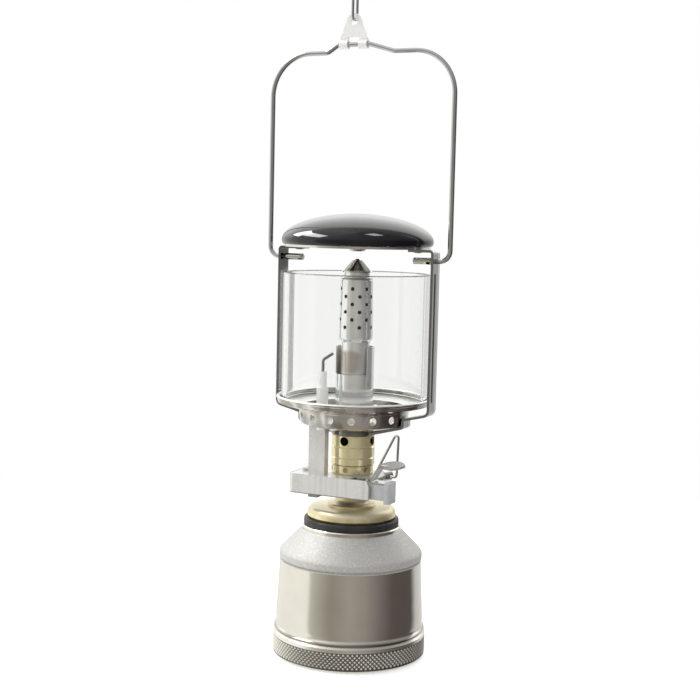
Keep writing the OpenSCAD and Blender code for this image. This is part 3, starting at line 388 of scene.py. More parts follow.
@dataclass(frozen=True)
class KnurledMetal(Metal):
    """Aluminium knurl with painted shade in its grooves and painted highlights on its points."""

    groove_r: float = 30.0 * MM
    point_r: float = 31.0 * MM
    tip_r: float = 31.5 * MM
    knurl_low: float = 0.6 * MM
    knurl_high: float = 9.0 * MM
    knurl_soft: float = 0.4 * MM
    # Painted highlight on the knurl's points and painted shade in its grooves.
    bright: Colour = (1.0, 0.98, 0.93)
    bright_share: float = 0.9
    groove_shade: Colour = (0.14, 0.134, 0.118)
    groove_shade_share: float = 0.85
    groove_dull: float = 0.15

    def wire(self, canvas: Canvas) -> None:
        """Wires the plain finish, with painted highlights on the points and painted shade in the
        grooves.
        """
        inputs = self.inputs(canvas)
        radius = canvas.radius()
        rolled = canvas.axes()[2].band(self.knurl_low, self.knurl_high, self.knurl_soft)
        cut = radius.ease(self.point_r, self.groove_r) * rolled
        point = radius.ease(self.point_r, self.tip_r) * rolled
        # Painted highlight on the points, then painted shade in the grooves.
        canvas.cover(inputs, point * self.bright_share, self.bright)
        canvas.cover(inputs, cut * self.groove_shade_share, self.groove_shade)
        inputs["Roughness"] = inputs["Roughness"] + cut * self.groove_dull
        canvas.finish(inputs)


@dataclass(frozen=True)
class HeatedMetal(Metal):
    """Steel that the flame has tinted over a stretch of its height."""

    tint_low: float = 0.0
    tint_high: float = 0.0
    tint_x: float = 0.0
    tint_reach: float = 6.0 * MM
    tint_depth: float = 3.0 * MM
    tint_soft: float = 2.5 * MM
    tint_share: float = 0.85
    tint_dull: float = 0.12
    clouds: float = 260.0
    cloud_lift: float = 0.45
    straw: Colour = (0.52, 0.465, 0.41)

    def inputs(self, canvas: Canvas) -> Sockets:
        """The plain finish with a straw-brown patch over it."""
        inputs = super().inputs(canvas)
        x, y, z = canvas.axes()
        cloud = canvas.noise(canvas.vector(x, y, z), self.clouds, detail=3.0, rough=0.6)
        front = (0.0 - y).ease(0.0, self.tint_depth)
        side = (x - self.tint_x).ease(self.tint_reach, 0.0) * front
        patch = z.band(self.tint_low, self.tint_high, self.tint_soft) * side
        burnt = (patch * (cloud + self.cloud_lift)).ease(0.15, 0.8)
        canvas.cover(inputs, burnt * self.tint_share, self.straw)
        inputs["Roughness"] = inputs["Roughness"] + burnt * self.tint_dull
        return inputs


@dataclass(frozen=True)
class LinedMetal(HeatedMetal):
    """Heated steel sheet with a pale, dull inside."""

    inner_r: float = 7.3 * MM
    skin: float = 0.12 * MM
    deep: float = 0.02 * MM
    pale: Colour = (0.9, 0.89, 0.86)
    pale_dull: float = 0.2
    pale_bare: float = 0.5

    def wire(self, canvas: Canvas) -> None:
        """Wires the heated finish with the pale inside."""
        inputs = self.inputs(canvas)
        inside = canvas.radius().ease(self.inner_r + self.skin, self.inner_r + self.deep)
        canvas.cover(inputs, inside, self.pale)
        inputs["Roughness"] = inputs["Roughness"] + inside * self.pale_dull
        inputs["Metallic"] = self.bare - inside * (self.bare - self.pale_bare)
        canvas.finish(inputs)


@dataclass(frozen=True)
class PleatedMetal(Metal):
    """Crimped steel with painted shade between its pleats, whose ridges narrow upward."""

    top: float = 0.0
    tall: float = 4.3 * MM
    drop: float = 4.8 * MM
    wide: float = 6.25 * MM
    narrow: float = 1.9 * MM
    skin: float = 0.15 * MM
    deep: float = 0.6 * MM
    foot_soft: float = 0.2 * MM
    # Painted shade between the pleats.
    hollow_shade: Colour = (0.2, 0.19, 0.175)
    hollow_shade_share: float = 0.9

    def wire(self, canvas: Canvas) -> None:
        """Wires the plain finish with painted shade in the folds."""
        inputs = self.inputs(canvas)
        z = canvas.axes()[2]
        foot = self.top - self.drop
        ridge = self.wide - (z - foot) / self.tall * (self.wide - self.narrow)
        fold = (ridge - canvas.radius()).ease(self.skin, self.deep)
        shaded = fold * z.ease(foot, foot + self.foot_soft)
        # Painted shade in the folds between the ridges.
        canvas.cover(inputs, shaded * self.hollow_shade_share, self.hollow_shade)
        canvas.finish(inputs)


@dataclass(frozen=True)
class PiercedMetal(HeatedMetal):
    """Heated steel with flame holes, painted dark inside as shade. Its tapered radius shrinks
    upward.
    """

    foot: float = 0.0
    top: float = 0.0
    foot_r: float = 7.0 * MM
    taper: float = 0.45 * MM
    skin: float = 0.08 * MM
    deep: float = 0.25 * MM
    end_soft: float = 0.5 * MM
    # Painted shade inside the flame holes.
    hollow_shade: Colour = (0.02, 0.018, 0.015)

    def wire(self, canvas: Canvas) -> None:
        """Wires the heated finish with painted shade under the skin of the pierced stretch."""
        inputs = self.inputs(canvas)
        z = canvas.axes()[2]
        outer_r = self.foot_r - (z - self.foot) / (self.top - self.foot) * self.taper
        depth = (outer_r - canvas.radius()).ease(self.skin, self.deep)
        shaded = depth * z.band(self.foot, self.top, self.end_soft)
        # Painted shade under the skin: the holes' walls and the tube's inside.
        canvas.blacken(inputs, shaded, self.hollow_shade, self.bare)
        canvas.finish(inputs)


@dataclass(frozen=True)
class BoredMetal(Metal):
    """Turned brass with painted shade inside its bore."""

    bore_r: float = 5.0 * MM
    bore_soft: float = 0.5 * MM
    # Painted shade inside the bore and its air holes.
    hollow_shade: Colour = (0.035, 0.028, 0.018)

    def wire(self, canvas: Canvas) -> None:
        """Wires the plain finish with painted shade inside the bore."""
        inputs = self.inputs(canvas)
        inside = canvas.radius().ease(self.bore_r + self.bore_soft, self.bore_r)
        # Painted shade inside the bore.
        canvas.blacken(inputs, inside, self.hollow_shade, self.bare)
        canvas.finish(inputs)


@dataclass(frozen=True)
class StrapMetal(Metal):
    """Bright strip whose sheared edges, rolled groove and front are darker, as painted
    reflection.
    """

    half_w: float = 3.5 * MM
    edge_from: float = 0.8 * MM
    edge_to: float = 0.3 * MM
    edge_share: float = 0.75
    groove: float = 1.1 * MM
    groove_half: float = 0.15 * MM
    groove_soft: float = 0.1 * MM
    groove_share: float = 0.5
    front_from: float = 1.6 * MM
    front_to: float = 1.0 * MM
    front_share: float = 0.55
    line_low: float = 1.3 * MM
    line_high: float = 1.7 * MM
    line_soft: float = 0.15 * MM
    line_share: float = 0.75
    # dark paints the reflection on the front, a line, the edges and the groove.
    dark: Colour = (0.2, 0.195, 0.185)
    top: float = 0.0
    # dark_reflection: a painted dark reflection under the hood, on the left.
    dark_reflection_from: float = 12.0 * MM
    dark_reflection_to: float = 8.0 * MM
    dark_reflection_x: float = -10.0 * MM
    dark_reflection_share: float = 0.85
    dark_reflection: Colour = (0.06, 0.057, 0.05)

    def wire(self, canvas: Canvas) -> None:
        """Wires the plain finish with painted dark reflections on its edges and front, and one
        under the hood.
        """
        inputs = self.inputs(canvas)
        x, y, z = canvas.axes()
        # Painted reflection: a dark front face and a dark line along the strip.
        front = y.ease(self.front_from, self.front_to) * self.front_share
        line = y.band(self.line_low, self.line_high, self.line_soft) * self.line_share
        canvas.cover(inputs, front + line, self.dark)
        # Painted reflection: a dark patch near the top on the left, under the hood.
        dark_reflection = z.ease(self.top - self.dark_reflection_from, self.top - self.dark_reflection_to)
        canvas.cover(inputs, dark_reflection * x.ease(0.0, self.dark_reflection_x) * self.dark_reflection_share, self.dark_reflection)
        # Painted reflection: dark along the sheared edges and the rolled groove.
        across = (y * y) ** 0.5
        edge = across.ease(self.half_w - self.edge_from, self.half_w - self.edge_to)
        sunk = across.band(
            self.groove - self.groove_half, self.groove + self.groove_half, self.groove_soft
        )
        canvas.cover(inputs, edge * self.edge_share + sunk * self.groove_share, self.dark)
        canvas.finish(inputs)


@dataclass(frozen=True)
class FacedMetal(Metal):
    """Metal whose up-facing faces take another tone, painted light and shade, with stains on its
    other sides that also serve as painted reflection.
    """

    # painted_top_tone paints light and shade by which way a face looks: faces that look up take
    # it, the rest keep the colour.
    painted_top_tone: Colour = (0.93, 0.925, 0.9)
    stain_and_reflection: Colour = (0.3, 0.265, 0.235)
    stain_and_reflection_share: float = 0.75
    clouds: float = 130.0
    cloud_squash: float = 0.6
    satin: float = 0.22

    def wire(self, canvas: Canvas) -> None:
        """Wires the plain finish, its stains and painted reflection, and the painted tone of the
        faces that look up.
        """
        inputs = self.inputs(canvas)
        x, y, z = canvas.axes()
        place = canvas.vector(x, y, z * self.cloud_squash)
        cloud = canvas.noise(place, self.clouds).ease(0.42, 0.6)
        # Cloudy stains, which on the dish also stand in for its dark reflections as painted
        # reflection.
        canvas.cover(inputs, cloud * self.stain_and_reflection_share, self.stain_and_reflection)
        facing = canvas.add("ShaderNodeTexCoord", output="Normal")
        up = canvas.add("ShaderNodeSeparateXYZ", None, {0: facing}, "Z").ease(0.1, 0.4)
        # Painted light and shade on the faces that look up.
        canvas.cover(inputs, up, self.painted_top_tone)
        inputs["Roughness"] = inputs["Roughness"] + up * self.satin
        inputs["Metallic"] = self.bare - up * self.satin * 2
        canvas.finish(inputs)


@dataclass(frozen=True)
class FoldedSheet(Metal):
    """Plated sheet whose lower edge and two sheared ends are darker, as painted shade."""

    left: float = 0.0
    right: float = 0.0
    low: float = 0.0
    outer: float = 0.2 * MM
    inner: float = 0.6 * MM
    streak_share: float = 0.45
    edge_share: float = 0.9
    # dark paints shade along the lower edge and the two ends.
    dark: Colour = (0.2, 0.195, 0.185)

    def wire(self, canvas: Canvas) -> None:
        """Wires the plain finish with rolling streaks and painted shade on the sheared edges."""
        inputs = self.inputs(canvas)
        streak = self.grain(canvas).ease(0.45, 0.7)
        canvas.cover(inputs, streak * self.streak_share, self.shade)
        # Painted shade along the sheared edges.
        x, _, z = canvas.axes()
        ends = x.band(self.left + self.inner, self.right - self.inner, self.inner - self.outer)
        edge = 1 - ends * z.ease(self.low + self.outer, self.low + self.inner)
        canvas.cover(inputs, edge * self.edge_share, self.dark)
        canvas.finish(inputs)


@dataclass(frozen=True)
class Enamel(Finish):
    """Gloss black stove enamel with a faint orange peel."""

    colour: Colour = (0.003, 0.003, 0.005)
    dust: Colour = (0.03, 0.03, 0.029)
    dust_share: float = 0.15
    smooth: float = 0.05
    dull: float = 0.05
    peel: float = 420.0
    veil: float = 120.0
    relief: float = 3e-6

    def wire(self, canvas: Canvas) -> None:
        """Wires the enamel and a thin veil of dust on it."""
        place = canvas.vector(*canvas.axes())
        peel = canvas.noise(place, self.peel, rough=0.4)
        veil = canvas.noise(place, self.veil, detail=5.0, rough=0.65).ease(0.45, 0.8)
        canvas.finish(
            {
                "Base Color": canvas.mix(veil * self.dust_share, self.colour, self.dust),
                "Roughness": veil * self.dull + self.smooth,
                "Normal": canvas.bump(peel, self.relief),
                "IOR": 1.46,
                "Coat Weight": 0.2,
                "Coat Roughness": 0.03,
            }
        )


@dataclass(frozen=True)
class ClearGlass(Finish):
    """Clear glass, a little greenish, its two rims finished by grinding and darkened there as
    painted shade.
    """

    low: float = 0.0
    high: float = 0.0
    colour: Colour = (0.988, 0.992, 0.98)
    # rim_shade paints shade on the rims.
    rim_shade: Colour = (0.12, 0.14, 0.135)
    ground_rough: float = 0.22
    rim_w: float = 0.42 * MM
    rim_soft: float = 0.15 * MM
    wipes: float = 70.0
    wipe_squash: float = 0.3
    wipe_rough: float = 0.02

    def wire(self, canvas: Canvas) -> None:
        """Wires the glass with faint wipe marks, and rims whose roughness is the grinding and
        whose darker colour is painted shade.
        """
        x, y, z = canvas.axes()
        place = canvas.vector(x, y, z * self.wipe_squash)
        wipe = canvas.noise(place, self.wipes, detail=4.0, rough=0.6).ease(0.5, 0.85)
        # Painted shade at the rims; their roughness is the grinding.
        rim = 1 - z.band(self.low + self.rim_w, self.high - self.rim_w, self.rim_soft)
        canvas.finish(
            {
                "Base Color": canvas.mix(rim, self.colour, self.rim_shade),
                "Roughness": wipe * self.wipe_rough + rim * self.ground_rough,
                "IOR": 1.47,
                "Transmission Weight": 1.0,
            }
        )


@dataclass(frozen=True)
class Matt(Finish):
    """Rubber, ceramic or moulded plastic: speckled, with a fine grain."""

    colour: Colour = (0.03, 0.03, 0.03)
    shade: Colour = (0.015, 0.015, 0.015)
    smooth: float = 0.4
    dull: float = 0.6
    grain: float = 1500.0
    relief: float = 8e-6
    patches: float = 160.0

    def wire(self, canvas: Canvas) -> None:
        """Wires the colour's patches and the surface's grain."""
        place = canvas.vector(*canvas.axes())
        patch = canvas.noise(place, self.patches, detail=4.0, rough=0.6).ease(0.3, 0.75)
        fine = canvas.noise(place, self.grain, rough=0.6)
        canvas.finish(
            {
                "Base Color": canvas.mix(patch, self.colour, self.shade),
                "Roughness": patch * (self.dull - self.smooth) + self.smooth,
                "Normal": canvas.bump(fine, self.relief),
            }
        )


TURNED_BRASS = Metal(
    "turned_brass",
    colour=(0.97, 0.89, 0.64),
    shade=(0.83, 0.72, 0.45),
    smooth=0.14,
    dull=0.24,
    lay=Lay.TURNED,
    lines=5200.0,
    relief=1.5e-6,
    bare=0.9,
)
# The flange's darker top tone is painted shade on its top.
SATIN_BRASS = FacedMetal(
    "satin_brass",
    colour=(0.94, 0.86, 0.57),
    shade=(0.83, 0.72, 0.41),
    smooth=0.28,
    dull=0.38,
    lay=Lay.TURNED,
    lines=4200.0,
    relief=2e-6,
    bare=0.8,
    painted_top_tone=(0.7, 0.635, 0.44),
    stain_and_reflection=(0.76, 0.65, 0.36),
    satin=0.05,
)
PLAIN_STEEL = Metal("plain_steel", smooth=0.22, dull=0.36, relief=3e-6)
BRIGHT_STEEL = Metal(
    "bright_sheet",
    colour=(0.8, 0.8, 0.78),
    shade=(0.6, 0.6, 0.58),
    smooth=0.08,
    dull=0.17,
    lay=Lay.LEVEL,
    lines=7000.0,
    relief=1.5e-6,
)
# The dish's pale top tone paints light on its up-facing inside, and its stains also paint
# reflections.
SPUN_STEEL = FacedMetal(
    "spun_dish",
    colour=(0.78, 0.765, 0.73),
    shade=(0.5, 0.485, 0.45),
    smooth=0.05,
    dull=0.12,
    lay=Lay.TURNED,
    lines=2600.0,
    relief=1.6e-6,
)
DRAWN_WIRE = Metal(
    "drawn_wire",
    colour=(0.6, 0.615, 0.62),
    shade=(0.42, 0.43, 0.435),
    smooth=0.14,
    dull=0.24,
    lines=2600.0,
    relief=8e-7,
    smudges=120.0,
)
SATIN_SHEET = Metal(
    "satin_sheet",
    colour=(0.82, 0.815, 0.8),
    shade=(0.5, 0.495, 0.48),
    smooth=0.22,
    dull=0.34,
    lay=Lay.UPRIGHT,
    lines=800.0,
    relief=2e-6,
    smudges=40.0,
    bare=0.42,
)
# The dark colour paints shade on the plate's edges and sides; its pale top tone paints light on
# its tops.
SATIN_PLATE = FacedMetal(
    "satin_plate",
    colour=(0.44, 0.43, 0.41),
    shade=(0.33, 0.325, 0.31),
    smooth=0.22,
    dull=0.32,
    lines=500.0,
    relief=2e-6,
    smudges=60.0,
    bare=0.5,
    painted_top_tone=(0.84, 0.835, 0.82),
    stain_and_reflection=(0.24, 0.23, 0.215),
    satin=0.02,
)
TINNED_SHEET = Metal(
    "tinned_sheet",
    colour=(0.9, 0.895, 0.88),
    shade=(0.76, 0.755, 0.74),
    smooth=0.3,
    dull=0.4,
    lines=400.0,
    relief=1e-6,
    smudges=60.0,
    bare=0.3,
)
# Painted shade: a dark gauze put inside the burner tube so that its holes read dark.
HOLE_SHADE_GAUZE = Metal(
    "hole_shade_gauze",
    colour=(0.06, 0.056, 0.05),
    shade=(0.02, 0.019, 0.017),
    smooth=0.5,
    dull=0.7,
    lines=2600.0,
    relief=4e-5,
)
SMOKED_STEEL = Metal(
    "smoked_steel",
    colour=(0.8, 0.78, 0.72),
    shade=(0.25, 0.235, 0.2),
    smooth=0.06,
    dull=0.14,
    relief=2e-6,
)
SPARK_WIRE = Metal(
    "spark_wire",
    colour=(0.4, 0.39, 0.37),
    shade=(0.26, 0.25, 0.23),
    smooth=0.28,
    dull=0.42,
)
BLACK_RUBBER = Matt("black_rubber", relief=1.2e-5)
GREY_BUTTON = Matt(
    "grey_button",
    colour=(0.44, 0.446, 0.45),
    shade=(0.36, 0.366, 0.37),
    smooth=0.3,
    dull=0.42,
    grain=2600.0,
    relief=5e-6,
)
BLACK_MOULDING = Matt("black_moulding", colour=(0.05, 0.05, 0.055), smooth=0.35, dull=0.5)
SLEEVE_WHITE = Matt("lead_sleeve", colour=(0.74, 0.73, 0.7), shade=(0.62, 0.6, 0.56))
GLAZED_CERAMIC = Matt(
    "glazed_ceramic",
    colour=(0.95, 0.95, 0.94),
    shade=(0.9, 0.9, 0.88),
    smooth=0.16,
    dull=0.26,
    grain=900.0,
    relief=4e-6,
)
BLACK_ENAMEL = Enamel("black_enamel")


def height_of(node: str) -> tuple[float, float]:
    """The lowest and highest point of a CAD node, in metres."""
    low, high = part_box(node)
    return low.z, high.z


def dress(finish: Finish, *nodes: str) -> None:
    """Gives CAD nodes a finish and reports each.

    Args:
        finish: what they wear.
        nodes: the CAD nodes' names.
    """
    for node in nodes:
        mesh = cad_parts[node].data
        mesh.materials.clear()
        mesh.materials.append(finish.material())
        log.info("%s wears %s", node, finish.name)


def soften(*nodes: str, sharp: float = 32.0) -> None:
    """Lets light run smoothly over small facets. The points stay where they are.

    Args:
        nodes: the CAD nodes' names.
        sharp: the least angle, in degrees, that still shows as an edge.
    """
    for node in nodes:
        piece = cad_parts[node]
        for name in ("custom_normal", "sharp_edge"):
            kept = piece.data.attributes.get(name)
            if kept:
                piece.data.attributes.remove(kept)
        piece.data.shade_smooth()
        weld = piece.modifiers.new("weld", "WELD")
        weld.merge_threshold = WELD_GAP
        split = piece.modifiers.new("edges", "EDGE_SPLIT")
        split.split_angle = math.radians(sharp)
        even = piece.modifiers.new("even", "WEIGHTED_NORMAL")
        even.keep_sharp = True


@dataclass
class Tank:
    """The refillable tank with its knurled foot and self-closing valve."""

    shoulder_foot: float = 38.6 * MM
    shoulder_top: float = 51.4 * MM
    groove_depth: float = 0.62 * MM
    point_depth: float = 0.32 * MM
    tip_depth: float = 0.06 * MM
    colour: Colour = (0.85, 0.82, 0.745)
    shade: Colour = (0.69, 0.655, 0.585)

    def dress(self) -> None:
        """Dresses the tank's pieces."""
        wall = TankMetal(
            "anodised_tank",
            colour=self.colour,
            shade=self.shade,
            smooth=0.12,
            dull=0.2,
            lay=Lay.TURNED,
            lines=6500.0,
            relief=1.2e-6,
            smudges=60.0,
            blast_low=self.shoulder_foot,
            blast_high=self.shoulder_top,
            foot=height_of("tank_body")[0],
        )
        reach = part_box("base_cap")[1].x
        foot = KnurledMetal(
            "knurled_foot",
            colour=self.colour,
            shade=self.shade,
            smooth=0.22,
            dull=0.32,
            groove_r=reach - self.groove_depth,
            point_r=reach - self.point_depth,
            tip_r=reach - self.tip_depth,
        )
        dress(wall, "tank_body")
        soften("tank_body", sharp=26.0)
        dress(foot, "base_cap")
        dress(BLACK_RUBBER, "base_oring", "tank_gasket")
        dress(TURNED_BRASS, "tank_valve")
        dress(PLAIN_STEEL, "tank_valve_stem", "tank_valve_spring")


@dataclass
class GasValve:
    """The brass connector, regulating valve and air column."""

    bore_r: float = 7.7 * MM
    column_colour: Colour = (0.96, 0.875, 0.57)
    column_shade: Colour = (0.8, 0.69, 0.38)

    def dress(self) -> None:
        """Dresses the valve's pieces."""
        dress(SATIN_BRASS, "connector_flange")
        dress(TURNED_BRASS, "valve_body", "gas_jet", "gland_nut")
        column = BoredMetal(
            "air_column_brass",
            colour=self.column_colour,
            shade=self.column_shade,
            smooth=TURNED_BRASS.smooth,
            dull=TURNED_BRASS.dull,
            lay=Lay.TURNED,
            lines=TURNED_BRASS.lines,
            relief=2.5e-6,
            bare=0.72,
            bore_r=self.bore_r,
        )
        dress(column, "air_column")
        dress(BLACK_RUBBER, "connector_oring", "spindle_oring")
        dress(PLAIN_STEEL, "valve_spindle")
        dress(DRAWN_WIRE, "valve_handle")


@dataclass
class Igniter:
    """The piezo igniter: housing, button, lead and electrode."""

    lug_h: float = 1.0 * MM

    def dress(self) -> None:
        """Dresses the igniter's pieces."""
        low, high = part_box("igniter_housing")
        sheet = {**vars(SATIN_SHEET), "name": "housing_sheet"}
        housing = FoldedSheet(**sheet, left=low.x, right=high.x, low=low.z + self.lug_h)
        dress(housing, "igniter_housing")
        dress(SATIN_SHEET, "lead_cover")
        dress(SATIN_PLATE, "thumb_tab")
        dress(PLAIN_STEEL, "housing_screw")
        dress(SPARK_WIRE, "electrode_wire")
        dress(GREY_BUTTON, "igniter_button")
        dress(BLACK_MOULDING, "piezo_unit")
        dress(SLEEVE_WHITE, "ignition_lead")
        dress(GLAZED_CERAMIC, "electrode_insulator")


@dataclass
class Globe:
    """The glass in its spun dish."""

    def dress(self) -> None:
        """Dresses the dish and the glass."""
        low, high = height_of("glass_globe")
        dress(ClearGlass("clear_glass", low=low, high=high), "glass_globe")
        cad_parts["glass_globe"].visible_shadow = False
        dress(SPUN_STEEL, "globe_dish")
        soften("globe_dish")


@dataclass
class Burner:
    """The mantle burner: nut, sleeve, perforated tube and crimped cone."""

    tint_drop: float = 10.5 * MM
    tint_gap: float = 1.5 * MM
    tint_x: float = 1.0 * MM
    neck_h: float = 2.4 * MM
    pierced_h: float = 23.9 * MM
    gauze_r: float = 5.1 * MM
    gauze_gap: float = 2.0 * MM
    gauze_sides: int = 48
    colour: Colour = (0.945, 0.96, 0.97)
    shade: Colour = (0.79, 0.8, 0.805)
    cap_colour: Colour = (0.82, 0.82, 0.8)
    cap_shade: Colour = (0.5, 0.49, 0.47)

    def dress(self) -> None:
        """Dresses the burner, with the flame's tint near the sleeve's top."""
        top = height_of("burner_sleeve")[1]
        pierced_top = height_of("burner_tube")[1] - self.neck_h
        worn = {
            "colour": self.colour,
            "shade": self.shade,
            "smooth": 0.09,
            "dull": 0.17,
            "lay": Lay.UPRIGHT,
            "lines": 5000.0,
            "relief": 2e-6,
            "bare": 0.78,
            "tint_low": top - self.tint_drop,
            "tint_high": top - self.tint_gap,
            "tint_x": self.tint_x,
        }
        sleeve = LinedMetal("burner_sheet", **worn)
        tube = PiercedMetal(
            "pierced_sheet", foot=pierced_top - self.pierced_h, top=pierced_top, **worn
        )
        cap = PleatedMetal(
            "burnt_cap",
            colour=self.cap_colour,
            shade=self.cap_shade,
            smooth=0.1,
            dull=0.2,
            top=height_of("burner_cone")[1],
        )
        dress(sleeve, "burner_sleeve")
        dress(tube, "burner_tube")
        dress(cap, "burner_cone")
        dress(TURNED_BRASS, "burner_nut")
        self.roll_gauze(pierced_top)

    def roll_gauze(self, top: float) -> None:
        """Adds a dark roll of gauze inside the tube, as painted shade seen through the tube's
        holes.

        Args:
            top: the height of the pierced stretch's upper end.
        """
        mesh = bpy.data.meshes.new("burner_gauze")
        shape = bmesh.new()
        tall = self.pierced_h - self.gauze_gap
        middle = Matrix.Translation((0.0, 0.0, top - self.pierced_h / 2))
        bmesh.ops.create_cone(
            shape,
            cap_ends=True,
            segments=self.gauze_sides,
            radius1=self.gauze_r,
            radius2=self.gauze_r,
            depth=tall,
            matrix=middle,
        )
        shape.to_mesh(mesh)
        shape.free()
        mesh.materials.append(HOLE_SHADE_GAUZE.material())
        gauze = bpy.data.objects.new("burner_gauze", mesh)
        bpy.context.scene.collection.objects.link(gauze)
        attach(gauze, "lantern")
        log.info("burner_gauze added")


@dataclass
class Hood:
    """The enamelled hood on its strap frame."""

    strap_colour: Colour = (0.78, 0.79, 0.79)
    strap_shade: Colour = (0.56, 0.57, 0.57)

    def dress(self) -> None:
        """Dresses the hood, its plate, its rivets and the strap."""
        dress(BLACK_ENAMEL, "hood")
        soften("hood")
        dress(BRIGHT_STEEL, "hood_plate")
        strap = StrapMetal(
            "bright_strap",
            colour=self.strap_colour,
            shade=self.strap_shade,
            smooth=0.1,
            dull=0.2,
            lay=Lay.UPRIGHT,
            lines=8000.0,
            relief=2e-6,
            top=height_of("frame_strap")[1],
        )
        dress(strap, "frame_strap")
        dress(PLAIN_STEEL, "hood_rivet", "strap_rivets")


@dataclass
class Hanger:
    """The bail, its ferrules, the link and the hook."""

    def dress(self) -> None:
        """Dresses the hanger's pieces."""
        dress(DRAWN_WIRE, "bail_wire", "hanging_hook")
        dress(SMOKED_STEEL, "bail_ferrules")
        dress(TINNED_SHEET, "hanger_link")


class Lights(Enum):
    """What a lamp shines on."""

    ALL = "every piece"
    HOOD = "the hood alone"
    REST = "all but the hood"


@dataclass
class Lamp:
    """One soft area light.

    Attributes:
        name: what it is called.
        bearing: degrees round the lantern, from the camera towards the camera's right.
        height: its height over the floor, in metres.
        distance: its distance from the lantern's axis, in metres.
        width: its width, in metres.
        tall: its height from edge to edge, in metres.
        power: its light, in watts.
        glints: whether it shows in bright pieces and through the glass.
        lights: what it shines on.
    """

    name: str
    bearing: float
    height: float
    distance: float
    width: float
    tall: float
    power: float
    glints: bool = False
    lights: Lights = Lights.ALL


